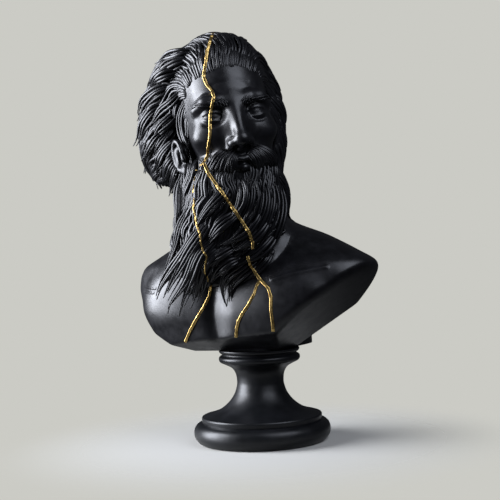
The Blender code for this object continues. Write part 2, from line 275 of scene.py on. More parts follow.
# Grooves drawn along the combing in the cast's own skin
GROOVE_WIDTH = 2.4
GROOVE_DEPTH = 1.2
GROOVE_STEPS = 8
GROOVE_STEP = 1.4

# How far inside the outline of the hair and of the beard their masses lie, to leave room for the
# locks. Then how softly they meet the chest, from one height to a lower one, and below what height the
# cast's own skin follows that fillet
HAIR_INSET = 3.4
BEARD_INSET = 2.6
CHEST_FILLET = 18.0
FILLET_HEIGHTS = (-52.0, -78.0)
FILLET_TOP = -56.0

# How low the beard's tips come, from the head's centre
BEARD_END = -142.0

# How far a drawn lock may fall back from one step to the next, so that it bridges gaps behind it, and
# how its back leans out from the way to the eye
FALL_BACK = 3.0
LOCK_LEAN = np.array((-0.3, 0.0, 0.0))

# Long locks laid over the others and past the outline, by where the photograph's camera sees them in
# its picture of 500 by 500: half width in parts, how far it stands off what it lies on, then its course
PHOTO_SIZE = 500.0
DRAWN_LOCKS = (
    (4.8, 2.2, ((237, 176), (244, 188), (243, 203), (234, 216), (224, 226))),
    (4.8, 2.4, ((249, 175), (255, 190), (253, 207), (245, 221), (236, 236), (232, 250))),
    (4.8, 2.6, ((261, 178), (267, 194), (264, 212), (256, 226), (247, 240), (243, 256))),
    (4.8, 2.8, ((271, 182), (275, 199), (272, 217), (264, 233), (255, 246), (252, 262))),
    (4.8, 2.4, ((279, 186), (283, 205), (281, 222), (274, 239), (266, 253), (261, 268))),
    (5.0, 3.4, ((262, 202), (256, 217), (246, 229), (234, 239), (221, 245))),
    (5.0, 3.6, ((270, 214), (262, 228), (252, 239), (240, 247), (227, 254))),
    (4.8, 3.2, ((277, 230), (268, 243), (257, 253), (244, 260), (233, 267))),
    (4.6, 2.6, ((219, 252), (210, 264), (203, 276), (202, 289), (197, 303))),
    (4.4, 2.2, ((228, 180), (224, 192), (214, 203), (203, 215), (194, 228))),
    (4.4, 2.4, ((242, 206), (234, 217), (221, 226), (211, 237), (203, 250))),
    (4.2, 1.5, ((192, 205), (180, 226), (178, 246), (167, 268), (159, 288))),
    (4.6, 2.0, ((205, 222), (193, 238), (186, 252), (173, 269), (160, 285), (155, 301))),
    (5.0, 2.6, ((214, 212), (202, 232), (190, 248), (184, 262), (172, 280), (163, 298))),
    (5.0, 3.2, ((220, 228), (206, 241), (193, 256), (190, 272), (180, 290), (167, 303), (166, 320))),
    (4.8, 4.0, ((222, 232), (209, 245), (198, 258), (194, 274), (188, 290), (182, 303), (178, 319))),
    (4.4, 3.0, ((226, 244), (212, 252), (202, 266), (199, 282), (196, 296), (190, 309))),
    (4.4, 2.2, ((240, 244), (224, 253), (211, 262), (205, 271), (207, 280))),
    (4.4, 2.6, ((243, 256), (228, 262), (216, 272), (210, 285))),
    (4.8, 2.0, ((258, 248), (247, 261), (233, 269), (224, 279), (222, 292), (226, 307))),
    (4.4, 2.8, ((262, 256), (250, 267), (238, 277), (230, 288), (230, 301))),
    (4.2, 1.6, ((272, 250), (265, 263), (254, 273), (244, 281))),
    (4.2, 1.2, ((184, 172), (178, 190), (180, 210), (177, 228), (174, 246))),
    (4.2, 1.2, ((187, 100), (181, 116), (183, 134), (189, 150), (191, 165))),
    (4.2, 1.4, ((181, 96), (176, 108), (175, 121), (178, 132))),
    (5.6, 2.6, ((191, 53), (178, 56), (165, 60), (154, 65))),
    (5.2, 2.0, ((186, 60), (174, 64), (163, 69), (155, 77))),
    (5.2, 2.0, ((180, 70), (166, 73), (155, 79), (149, 90))),
    (5.2, 2.4, ((172, 86), (156, 92), (144, 103), (136, 122))),
    (5.2, 2.8, ((182, 92), (172, 104), (160, 114), (148, 128))),
    (5.2, 2.6, ((168, 104), (154, 112), (143, 126), (140, 138), (134, 147))),
    (5.0, 3.0, ((181, 108), (171, 120), (159, 131), (148, 143))),
    (5.2, 2.4, ((170, 126), (157, 136), (148, 148), (140, 162))),
    (5.0, 3.0, ((177, 124), (169, 136), (160, 147), (151, 158))),
    (4.8, 2.2, ((173, 142), (165, 153), (159, 164), (153, 173))),
    (4.6, 2.2, ((176, 156), (169, 167), (165, 177), (161, 184))),
    (4.4, 2.0, ((180, 164), (176, 176), (174, 186), (169, 196))),
)

# Crack lines as the camera sees them, in millimetres across and up the upright plane through the
# socle's axis: half width of the paint, how deep a groove the brush still reaches into, then the path
CRACK_LINES = (
    (1.25, 14.0, (
        (-24.6, 334.7), (-25.8, 330.9), (-28.5, 323.9), (-31.2, 315.7), (-32.8, 306.4), (-34.2, 300.4),
        (-35.1, 294.6), (-33.0, 288.5), (-29.1, 283.7), (-27.5, 278.8), (-29.0, 273.0), (-31.1, 263.6),
        (-31.5, 255.3), (-32.2, 245.8), (-34.1, 236.5), (-34.9, 230.6), (-38.1, 226.0), (-34.9, 217.5),
        (-30.5, 210.2), (-23.8, 200.5), (-17.2, 189.5), (-9.4, 177.3), (-3.9, 167.6), (-1.3, 159.2),
        (-1.7, 154.2),
    )),
    (1.2, 6.0, ((-6.1, 148.9), (-4.5, 142.3), (-0.2, 134.7), (3.7, 128.9))),
    (1.3, 6.0, ((3.7, 128.9), (9.5, 122.2), (11.5, 114.7), (11.0, 103.6), (11.9, 93.3), (12.1, 86.9))),
    (1.2, 6.0, (
        (3.7, 128.9), (0.3, 124.5), (-1.9, 118.0), (-6.8, 109.9), (-12.8, 101.9), (-15.8, 96.4),
        (-17.4, 90.9), (-18.2, 83.5),
    )),
    (0.7, 3.6, (
        (-38.1, 226.0), (-43.5, 221.3), (-46.0, 215.2), (-47.4, 209.5), (-47.6, 203.9), (-48.9, 200.0),
        (-46.9, 194.2), (-48.3, 189.2), (-46.8, 184.0), (-46.0, 175.8), (-43.6, 168.0), (-42.9, 158.7),
        (-41.5, 153.9), (-39.0, 149.9), (-40.1, 144.6), (-41.1, 136.9), (-38.7, 132.1),
    )),
    (1.2, 14.0, (
        (-38.7, 132.1), (-36.6, 125.9), (-38.1, 118.2), (-42.7, 109.9), (-49.3, 100.1), (-55.1, 90.4),
        (-59.4, 81.3),
    )),
)

# The paint's grid along and across a line, how proud it stands in the middle and, as a share of that, at
# its edges, how deep its root is, from what jump on it breaks, how far it bridges the grooves under it,
# over how many steps it looks for them, and how often it is evened out
PAINT_STEP = 0.45
PAINT_ROWS = 7
PAINT_LIFT = 0.22
PAINT_EDGE = 0.3
PAINT_ROOT = 0.9
PAINT_BREAK = 9.0
PAINT_BRIDGE = 0.8
PAINT_SEARCH = 6
PAINT_ROUNDS = 3

# Lines carved in the chest, in the same plane: half width, depth (negative for a ridge), path
CHEST_LINES = (
    (1.5, -0.8, ((12.9, 128.7), (27.6, 132.9), (43.9, 135.4), (57.7, 137.2))),
    (4.0, 1.4, ((-34.4, 120.0), (-36.4, 110.0), (-36.8, 100.0), (-35.5, 92.0), (-33.5, 83.9))),
    (0.9, 0.7, ((-88.9, 127.5), (-85.0, 126.2), (-81.7, 125.9))),
    (0.9, 0.7, ((-89.9, 123.9), (-86.5, 122.6), (-83.5, 122.4))),
)

# Outline of the socle from the table up, in shares of its radius and height: one run to each curve
SOCLE_RUNS = (
    ((0.888, 0.0), (0.936, 0.014), (0.991, 0.071), (1.0, 0.125), (0.982, 0.176), (0.935, 0.210),
     (0.873, 0.223)),
    ((0.873, 0.223), (0.878, 0.250), (0.880, 0.272), (0.872, 0.284)),
    ((0.872, 0.284), (0.750, 0.309), (0.610, 0.350), (0.480, 0.425), (0.391, 0.514), (0.350, 0.600),
     (0.342, 0.660), (0.358, 0.740), (0.415, 0.805), (0.530, 0.851)),
    ((0.530, 0.851), (0.575, 0.868), (0.595, 0.895), (0.588, 0.925), (0.548, 0.945)),
    ((0.548, 0.945), (0.548, 0.958)),
    ((0.548, 0.958), (0.575, 0.968), (0.590, 0.985), (0.590, 1.0)),
)
SOCLE_SIDES = 144


# The sprayed coats: colour, its paler places and how wide they are, width and depth of the spray's grain
BUST_COAT = {
    "colour": "#0a0a0c", "worn_colour": "#101013", "mottle_mm": 9.0, "grain_mm": 0.7, "grain_depth": 0.00006
}
SOCLE_COAT = {
    "colour": "#08090b", "worn_colour": "#0c0d10", "mottle_mm": 14.0, "grain_mm": 0.5, "grain_depth": 0.00003
}

# Width of the brush's bristle marks in the gold
BRISTLE_MM = 1.6


def linear(hex_colour):
    """An sRGB hex colour as a linear RGBA value."""
    channels = [int(hex_colour[i : i + 2], 16) / 255.0 for i in (1, 3, 5)]
    straight = [c / 12.92 if c <= 0.04045 else ((c + 0.055) / 1.055) ** 2.4 for c in channels]
    return (*straight, 1.0)


def add_node(tree, kind, settings=None, links=None):
    """Adds a node. Settings are its properties or input values, links its inputs and where they come from."""
    node = tree.nodes.new(kind)
    for name, value in (settings or {}).items():
        if name in node.inputs:
            node.inputs[name].default_value = value
        else:
            setattr(node, name, value)
    for name, source in (links or {}).items():
        tree.links.new(source, node.inputs[name])
    return node


def new_material(name):
    """A material with nothing but its Principled shader and output."""
    material = bpy.data.materials.new(name)
    material.use_nodes = True
    return material, material.node_tree, material.node_tree.nodes["Principled BSDF"]


def cast_resin(name, colour, worn_colour, roughness, shine, mottle_mm, grain_mm, grain_depth):
    """Polyurethane resin cast in a rubber mould, dyed through and sprayed with a satin black coat.

    The coat gives broad soft highlights, which break up a little where the spray lay thicker.
    """
    material, tree, shader = new_material(name)
    place = add_node(tree, "ShaderNodeTexCoord").outputs["Object"]
    mottle = add_node(
        tree,
        "ShaderNodeTexNoise",
        {"Scale": 1000.0 / mottle_mm, "Detail": 4.0, "Roughness": 0.6},
        {"Vector": place},
    ).outputs["Fac"]
    tint = add_node(tree, "ShaderNodeValToRGB", links={"Fac": mottle})
    for stop, (spot, shade) in zip(tint.color_ramp.elements, ((0.35, colour), (0.75, worn_colour))):
        stop.position, stop.color = spot, linear(shade)
    gloss = add_node(
        tree,
        "ShaderNodeMapRange",
        {"From Min": 0.3, "From Max": 0.7, "To Min": roughness - 0.06, "To Max": roughness + 0.07},
        {"Value": mottle},
    ).outputs["Result"]
    grain = add_node(
        tree,
        "ShaderNodeTexNoise",
        {"Scale": 1000.0 / grain_mm, "Detail": 3.0, "Roughness": 0.55},
        {"Vector": place},
    ).outputs["Fac"]
    bump = add_node(
        tree, "ShaderNodeBump", {"Strength": 0.5, "Distance": grain_depth}, {"Height": grain}
    )
    shader.inputs["IOR"].default_value = 1.5
    shader.inputs["Specular IOR Level"].default_value = shine
    tree.links.new(tint.outputs["Color"], shader.inputs["Base Color"])
    tree.links.new(gloss, shader.inputs["Roughness"])
    tree.links.new(bump.outputs["Normal"], shader.inputs["Normal"])
    return material


def gold_paint():
    """Gold metal paint laid on by brush: bright, with a little drag of the bristles in it."""
    material, tree, shader = new_material("brushed_gold_paint")
    shader.inputs["Metallic"].default_value = 1.0
    place = add_node(tree, "ShaderNodeTexCoord").outputs["Object"]
    drag = add_node(
        tree, "ShaderNodeTexNoise", {"Scale": 1000.0 / BRISTLE_MM, "Detail": 3.0}, {"Vector": place}
    ).outputs["Fac"]
    tint = add_node(tree, "ShaderNodeValToRGB", links={"Fac": drag})
    for stop, (spot, shade) in zip(tint.color_ramp.elements, ((0.3, "#7d6338"), (0.62, "#c2a666"))):
        stop.position, stop.color = spot, linear(shade)
    bump = add_node(tree, "ShaderNodeBump", {"Strength": 0.4, "Distance": 0.0001}, {"Height": drag})
    shader.inputs["Roughness"].default_value = 0.38
    tree.links.new(tint.outputs["Color"], shader.inputs["Base Color"])
    tree.links.new(bump.outputs["Normal"], shader.inputs["Normal"])
    return material


def studio_floor():
    """Pale matt floor paint. It thins out to nothing away from the object, so no far edge shows."""
    material, tree, shader = new_material("pale_floor_paint")
    shader.inputs["Base Color"].default_value = linear("#a5a49f")
    shader.inputs["Roughness"].default_value = 0.8
    place = add_node(tree, "ShaderNodeTexCoord").outputs["Object"]
    away = add_node(tree, "ShaderNodeVectorMath", {"operation": "LENGTH"}, {0: place}).outputs["Value"]
    fade = {"From Min": FLOOR_FADE[0], "From Max": FLOOR_FADE[1], "To Min": 1.0, "To Max": 0.0}
    cover = add_node(
        tree, "ShaderNodeMapRange", {"interpolation_type": "SMOOTHSTEP", **fade}, {"Value": away}
    ).outputs["Result"]
    tree.links.new(cover, shader.inputs["Alpha"])
    return material


def make_floor():
    """The round of floor that the object stands on."""
    bm = bmesh.new()
    bmesh.ops.create_circle(bm, cap_ends=True, segments=96, radius=FLOOR_RADIUS)
    mesh = bpy.data.meshes.new("floor")
    bm.to_mesh(mesh)
    bm.free()
    mesh.materials.append(studio_floor())
    floor = bpy.data.objects.new("floor", mesh)
    bpy.context.scene.collection.objects.link(floor)


def make_soft_light(name, place, aim, size, watts, colour):
    """A square softbox, turned to what it lights."""
    lamp = bpy.data.lights.new(name, "AREA")
    lamp.shape = "RECTANGLE"
    lamp.size, lamp.size_y = size
    lamp.energy = watts
    lamp.color = linear(colour)[:3]
    light = bpy.data.objects.new(name, lamp)
    light.location = place
    light.rotation_euler = (Vector(aim) - Vector(place)).to_track_quat("-Z", "Y").to_euler()
    bpy.context.scene.collection.objects.link(light)


def make_room():
    """The pale wall that the eye sees behind the object, and the dim room that lights its dark side."""
    world = bpy.data.worlds.new("room")
    bpy.context.scene.world = world
    world.use_nodes = True
    tree = world.node_tree
    tree.nodes.clear()
    wall = add_node(tree, "ShaderNodeBackground", {"Color": linear("#cbcbc5"), "Strength": 1.0})
    room = add_node(tree, "ShaderNodeBackground", {"Color": linear("#c4c8d0"), "Strength": 0.06})
    seen = add_node(tree, "ShaderNodeLightPath").outputs["Is Camera Ray"]
    mixed = add_node(
        tree, "ShaderNodeMixShader", links={0: seen, 1: room.outputs[0], 2: wall.outputs[0]}
    )
    add_node(tree, "ShaderNodeOutputWorld", links={"Surface": mixed.outputs[0]})


def make_camera():
    """The camera at the place of the photograph's eye."""
    data = bpy.data.cameras.new("camera")
    data.sensor_width = SENSOR_WIDTH
    data.lens = FOCAL_LENGTH
    camera = bpy.data.objects.new("camera", data)
    camera.location = CAMERA_PLACE
    camera.rotation_euler = CAMERA_TILT
    bpy.context.scene.collection.objects.link(camera)
    bpy.context.scene.camera = camera


def joined(first, second, blend):
    """Two sets of distances as one form, with a soft fillet where they meet."""
    mix = np.maximum(blend - np.abs(first - second), 0.0)
    return np.minimum(first, second) - mix * mix / (4.0 * blend)


class Carving:
    """A block of space that holds the distance to the carved surface, in parts, at each of its points."""

    def __init__(self, low, high, voxel):
        self.low = low
        self.voxel = voxel
        counts = [int((b - a) / voxel) + 1 for a, b in zip(low, high)]
        self.field = np.full(counts, OPEN_SPACE, np.float32)

    def holding(self, field):
        """A block at the same place that holds other distances."""
        block = Carving(self.low, self.low, self.voxel)
        block.field = field
        return block

    def window(self, middle, reach):
        """The slices of the block within reach of a point, and the places they hold."""
        slices, places = [], []
        for axis in range(3):
            first = int((middle[axis] - reach - self.low[axis]) / self.voxel)
            last = int((middle[axis] + reach - self.low[axis]) / self.voxel) + 2
            first, last = max(0, first), min(self.field.shape[axis], last)
            slices.append(slice(first, last))
            places.append((self.low[axis] + self.voxel * np.arange(first, last)).astype(np.float32))
        return tuple(slices), np.meshgrid(*places, indexing="ij", sparse=True)

    def add(self, form, blend):
        """Adds a form, with a soft fillet where it meets what is there."""
        middle, reach, distance = form
        slices, places = self.window(middle, reach + blend + FAR)
        self.field[slices] = joined(self.field[slices], distance(*places), blend)

    def cut(self, form, blend):
        """Cuts a form away and softens the edge of the cut."""
        middle, reach, distance = form
        slices, places = self.window(middle, reach + blend + FAR)
        self.field[slices] = -joined(-self.field[slices], distance(*places), blend)

    def lay(self, frame, path, radii, blend):
        """Lays a roll along a path. The radii are those at the two ends of each stretch."""
        for start, end in zip(path, path[1:]):
            self.add(rod(frame, start, end, *radii), blend)

    def press(self, frame, centre, radii, depth):
        """Presses a soft hollow, or raises a swelling where the depth is negative."""
        slices, places = self.window(frame @ Vector(centre), max(radii))
        x, y, z = seen_from(frame @ Matrix.Translation(centre), *places)
        away = (x / radii[0]) ** 2 + (y / radii[1]) ** 2 + (z / radii[2]) ** 2
        self.field[slices] += depth * np.maximum(1.0 - away, 0.0) ** 2

    def engrave(self, frame, path, width, depth):
        """Draws a line with a rounded tool along a path of points."""
        spots = [frame @ Vector(point) for point in path]
        middle = sum(spots, Vector()) / len(spots)
        reach = max((spot - middle).length for spot in spots) + 3.0 * width
        slices, places = self.window(middle, reach)
        nearest = None
        for start, end in zip(spots, spots[1:]):
            away = rod(Matrix(), start, end, 0.0, 0.0)[2](*places)
            nearest = away if nearest is None else np.minimum(nearest, away)
        self.field[slices] += depth * np.exp(-((nearest / width) ** 2))

    def matched(self, other):
        """The distances at another block's points, large where this block doesn't reach."""
        field = np.full(other.field.shape, OPEN_SPACE, np.float32)
        own, theirs = [], []
        for axis in range(3):
            places = other.low[axis] + other.voxel * np.arange(field.shape[axis])
            spots = np.rint((places - self.low[axis]) / self.voxel).astype(int)
            inside = (spots >= 0) & (spots < self.field.shape[axis])
            own.append(spots[inside])
            theirs.append(np.nonzero(inside)[0])
        field[np.ix_(*theirs)] = self.field[np.ix_(*own)]
        return field

    def surface(self):
        """The points and four-sided faces of the carved surface."""
        grid = openvdb.FloatGrid(FAR)
        grid.copyFromArray(np.clip(self.field, -FAR, FAR))
        points, quads = grid.convertToQuads(0.0)
        return points * self.voxel + np.array(self.low), quads[:, ::-1]


def seen_from(frame, x, y, z):
    """Places as a frame sees them."""
    rows = [[float(value) for value in row] for row in frame.inverted()]
    return [row[0] * x + row[1] * y + row[2] * z + row[3] for row in rows[:3]]


def oval(frame, centre, radii):
    """A rounded form: its middle, its reach and the distance to its surface."""
    own = frame @ Matrix.Translation(centre)

    def distance(*places):
        local = seen_from(own, *places)
        near = np.sqrt(sum((c / r) ** 2 for c, r in zip(local, radii)))
        slope = np.sqrt(sum((c / (r * r)) ** 2 for c, r in zip(local, radii)))
        return near * (near - 1.0) / np.maximum(slope, 1e-6)

    return own.translation, max(radii), distance


def rod(frame, start, end, start_radius, end_radius):
    """A straight form with round ends, which may taper."""
    a, b = frame @ Vector(start), frame @ Vector(end)
    axis = b - a

    def distance(*places):
        offsets = [place - corner for place, corner in zip(places, a)]
        share = sum(o * c for o, c in zip(offsets, axis)) / max(axis.length_squared, 1e-9)
        share = np.clip(share, 0.0, 1.0)
        away = np.sqrt(sum((o - share * c) ** 2 for o, c in zip(offsets, axis)))
        return away - (start_radius + share * (end_radius - start_radius))

    return (a + b) / 2.0, axis.length / 2.0 + max(start_radius, end_radius), distance


def ring_stack(rings, squareness, frame):
    """A form with oval level sections: height, half width, front and back depth of each."""
    heights, widths, fronts, backs = (np.array(column) for column in zip(*rings))

    def distance(*places):
        x, y, z = seen_from(frame, *places)
        width = np.interp(z, heights, widths)
        depth = np.where(y > 0.0, np.interp(z, heights, backs), np.interp(z, heights, fronts))
        share = (np.abs(x / width) ** squareness + np.abs(y / depth) ** squareness) ** (1.0 / squareness)
        side = (share - 1.0) * np.minimum(width, depth)
        return np.maximum(side, np.maximum(z - heights[-1], heights[0] - z))

    middle = frame @ Vector((0.0, 0.0, (heights[0] + heights[-1]) / 2.0))
    return middle, max(widths.max(), heights[-1] - heights[0]) + 10.0, distance


def behind_plane(frame, point, normal):
    """What lies beyond a flat cut."""
    spot = frame @ Vector(point)
    outward = (frame.to_3x3() @ Vector(normal)).normalized()

    def distance(x, y, z):
        return -((x - spot.x) * outward.x + (y - spot.y) * outward.y + (z - spot.z) * outward.z)

    return spot, EVERYWHERE, distance


def carve_trunk():
    """Chest, shoulders and neck, cut off flat below, with the pillar that the socle's pin goes into."""
    trunk = Carving(*TRUNK_BLOCK, TRUNK_VOXEL)
    trunk.add(ring_stack(TRUNK_RINGS, TRUNK_SQUARENESS, TORSO), 1.0)
    for centre, radii in CHEST_FORMS:
        trunk.add(oval(TORSO, centre, radii), CHEST_BLEND)
    trunk.add(oval(VIEW, *NECK), NECK_BLEND)
    trunk.press(TORSO, *CHEST_HOLLOW)
    trunk.field = softened(trunk.field, TRUNK_SOFTENING)
    for point, normal, edge in TRUNK_CUTS:
        trunk.cut(behind_plane(TORSO, point, normal), edge)
    trunk.add(ring_stack(PILLAR_RINGS, PILLAR_SQUARENESS, TORSO), PILLAR_BLEND)
    return trunk


def carve_eye(head, side):
    """A blank eye between lids, under the brow."""
    centre = Vector((16.0 * side, -35.8, 2.0))
    head.press(FACE, (16.0 * side, -43.0, 2.5), (13.5, 14.0, 9.5), 7.5)
    lids = oval(FACE, centre, (8.9, 8.9, 8.7))[2]
    slit = almond(FACE, centre, 9.4, 3.1, 2.5, side)
    slices, places = head.window(FACE @ centre, 14.0)
    opened = np.maximum(lids(*places), -slit(*places))
    head.field[slices] = joined(head.field[slices], opened, 2.0)
    head.add(oval(FACE, centre, (7.7, 7.7, 7.7)), 0.3)
    crease = [(centre.x + x, -44.6 + 0.045 * x * x, 6.9 - 0.03 * x * x) for x in (-9.0, -4.5, 0.0, 4.5, 9.0)]
    head.engrave(FACE, crease, 0.9, 0.7)
    pouch = [(centre.x + x, -42.6 + 0.035 * x * x, -5.2 + 0.035 * x * x) for x in (-8.0, -4.0, 0.0, 4.0, 8.0)]
    head.engrave(FACE, pouch, 1.3, 0.6)


def almond(frame, centre, half_width, rise, fall, side):
    """The opening between two lids, as a form that runs through from front to back."""

    def distance(*places):
        x, _, z = seen_from(frame, *places)
        across, up = (x - centre.x) * side, z - centre.z - 0.06 * (x - centre.x) * side
        arch = 1.0 - (across / half_width) ** 2
        edge = np.maximum(up - rise * arch, -fall * arch - up)
        return np.maximum(edge, np.abs(across) - half_width)

    return distance


def carve_nose(head):
    """Bridge, tip, wings and nostrils."""
    head.add(oval(FACE, (0.0, -44.0, -9.0), (9.0, 9.5, 16.0)), 6.0)
    head.add(rod(FACE, (0.0, -45.0, 10.0), (0.0, -58.0, -16.5), 3.2, 4.6), 4.0)
    head.add(oval(FACE, (0.0, -58.3, -18.0), (5.6, 5.0, 4.8)), 3.0)
    for side in SIDES:
        head.add(oval(FACE, (6.6 * side, -51.0, -19.6), (4.0, 6.6, 4.2)), 3.2)
        wing = [(8.6 * side, -55.0, -16.4), (11.2 * side, -49.5, -15.6), (12.4 * side, -46.5, -20.5)]
        head.engrave(FACE, wing, 1.1, 1.0)
        head.cut(oval(FACE, (4.3 * side, -53.6, -24.4), (2.1, 3.8, 2.6)), 0.8)
    head.add(rod(FACE, (0.0, -58.0, -20.8), (0.0, -49.0, -24.5), 2.3, 2.6), 1.6)


def carve_mouth(head):
    """Two closed lips and the chin, most of it under the hair."""
    head.add(oval(FACE, (0.0, -37.5, -34.0), (18.0, 12.0, 14.0)), 7.0)
    upper = [(-11.0, -45.8, -34.0), (-3.2, -50.4, -31.6), (0.0, -50.6, -32.6), (3.2, -50.4, -31.6)]
    head.lay(FACE, [*upper, (11.0, -45.8, -34.0)], (2.3, 2.3), 1.6)
    head.lay(FACE, [(-9.0, -45.8, -37.4), (0.0, -50.0, -38.6), (9.0, -45.8, -37.4)], (2.8, 2.8), 1.8)
    head.engrave(FACE, [(-12.0, -46.5, -34.6), (0.0, -52.6, -35.2), (12.0, -46.5, -34.6)], 1.0, 1.8)
    head.add(oval(FACE, (0.0, -40.0, -51.0), (12.0, 9.0, 9.0)), 6.0)


def carve_ear(head, side):
    """Rim, fold, lobe and bowl of an ear that lies against the head."""
    ear = (
        HEAD
        @ Matrix.Translation((40.6 * side, -11.0, -29.0))
        @ Matrix.Rotation(math.radians(-22.0) * side, 4, "Z")
        @ Matrix.Rotation(math.radians(-8.0), 4, "X")
    )
    head.add(oval(ear, (-4.0 * side, 2.0, 0.0), (7.0, 9.0, 12.5)), 3.0)
    head.press(ear, (1.5 * side, -0.5, -1.0), (6.5, 6.0, 9.0), 4.2)
    turns = [math.radians(-80.0 + 19.0 * step) for step in range(15)]
    rim = [(2.2 * side, 6.6 * math.cos(turn) + 0.5, 11.5 * math.sin(turn) + 1.0) for turn in turns]
    head.lay(ear, rim, (1.5, 1.5), 1.8)
    head.add(rod(ear, (1.0 * side, 2.6, 5.0), (1.2 * side, 2.6, -5.0), 1.3, 1.3), 2.4)
    head.add(oval(ear, (1.6 * side, -6.0, -3.0), (2.2, 2.6, 3.0)), 2.0)
    head.add(oval(ear, (0.6 * side, -2.8, -12.0), (3.0, 4.4, 4.6)), 3.0)


def carve_head():
    """Skull and face, of the maker's own calm design: thirds from hairline to brow, nose and chin."""
    head = Carving(*HEAD_BLOCK, HEAD_VOXEL)
    head.add(oval(HEAD, (0.0, 8.0, 18.0), (37.0, 50.0, 44.0)), 1.0)
    head.add(oval(HEAD, (0.0, -14.0, -12.0), (33.0, 35.0, 46.0)), 8.0)
    head.add(oval(HEAD, (0.0, -22.0, -40.0), (26.0, 24.0, 22.0)), 8.0)
    head.add(oval(FACE, (0.0, -42.5, 11.5), (7.0, 4.5, 7.0)), 6.0)
    for side in SIDES:
        brow = [(5.0, -43.5, 10.5), (13.0, -42.5, 13.6), (21.0, -38.5, 13.4), (28.0, -31.5, 9.0)]
        head.lay(FACE, [(x * side, y, z) for x, y, z in brow], (3.4, 3.0), 6.0)
        head.add(oval(FACE, (20.0 * side, -31.0, -11.5), (12.0, 10.5, 8.5)), 9.0)
        head.press(HEAD, (37.0 * side, -22.0, 12.0), (14.0, 16.0, 20.0), 1.5)
        head.press(FACE, (24.0 * side, -36.0, -27.0), (12.0, 16.0, 13.0), 2.0)
        carve_eye(head, side)
    carve_nose(head)
    carve_mouth(head)
    for side in SIDES:
        fold = [(11.5 * side, -48.0, -20.0), (15.0 * side, -45.0, -27.0), (17.5 * side, -42.0, -34.0)]
        head.engrave(FACE, fold, 1.8, 1.3)
    carve_ear(head, -1.0)
    for height, half_width in ((21.0, 17.0), (27.0, 14.0)):
        across = np.linspace(-half_width, half_width, 7)
        head.engrave(FACE, [(x, -41.5 + 0.012 * x * x, height - 0.006 * x * x) for x in across], 1.2, 0.55)
    return head


def smooth(low, high, value):
    """0 below low, 1 above high and an even curve between them."""
    share = np.clip((value - low) / (high - low), 0.0, 1.0)
    return share * share * (3.0 - 2.0 * share)


def unit(vectors):
    """Directions as vectors of length one."""
    return vectors / np.maximum(np.linalg.norm(vectors, axis=-1, keepdims=True), 1e-9)


def blended(share, first, second):
    """Directions between two others, for an array of shares."""
    return first + (np.asarray(second) - first) * share[..., None]


def hair_flow(x, y, z):
    """The way the hair is combed at places counted from the head's centre."""
    left = smooth(0.0, -28.0, x)
    right = smooth(4.0, 30.0, x)
    top = np.maximum(0.0, 1.0 - left - right)
    low = smooth(45.0, -15.0, z)
    sweep_left = blended(low, np.array((-1.0, 0.25, 0.0)), (-0.9, 0.25, -0.9))
    sweep_right = blended(low, np.array((0.8, 0.9, -0.2)), (0.05, 0.4, -1.0))
    sweep = left[..., None] * sweep_left + right[..., None] * sweep_right
    sweep = sweep + top[..., None] * np.array((-0.35, 1.0, 0.1))
    rising = np.stack(np.broadcast_arrays(0.03 * x - 0.15, 0.35, 1.0), axis=-1)
    sweep = blended(0.9 * smooth(-6.0, -32.0, y) * smooth(0.0, 20.0, z), sweep, rising)
    return blended(smooth(22.0, 50.0, y), sweep, (-0.15, 0.1, -1.0))


def beard_flow(x, _y, z):
    """The way the beard is combed, blown to the figure's right as it falls."""
    low = smooth(-48.0, -92.0, z)
    right = smooth(-30.0, 10.0, x)
    blown = -0.1 - 0.85 * low * right - 0.35 * smooth(-85.0, -125.0, z) * (1.0 - right)
    return np.stack(np.broadcast_arrays(blown, 0.0, -1.0), axis=-1)


def softened(field, rounds=2):
    """A field averaged with its neighbours, to take creases out of it."""
    for _ in range(rounds):
        for axis in range(3):
            margin = [(1, 1) if a == axis else (0, 0) for a in range(3)]
            wide = np.moveaxis(np.pad(field, margin, "edge"), axis, 0)
            field = np.moveaxis((wide[:-2] + 2.0 * wide[1:-1] + wide[2:]) / 4.0, 0, axis)
    return field


class Lattice:
    """Even random numbers on a repeating lattice, read anywhere between its points."""

    def __init__(self, seed, size=64):
        self.size = size
        self.numbers = np.random.default_rng(seed).standard_normal((size,) * 3).astype(np.float32)

    def read(self, x, y, z):
        """The numbers at places, each weighed from the eight corners round it."""
        total = 0.0
        corners = []
        for value in np.broadcast_arrays(x, y, z):
            floor = np.floor(value).astype(np.int32)
            corners.append((floor, (value - floor).astype(np.float32)))
        for steps in np.ndindex(2, 2, 2):
            weight, spot = 1.0, []
            for (floor, share), step in zip(corners, steps):
                weight = weight * (share if step else 1.0 - share)
                spot.append((floor + step) % self.size)
            total = total + weight * self.numbers[tuple(spot)]
        return total


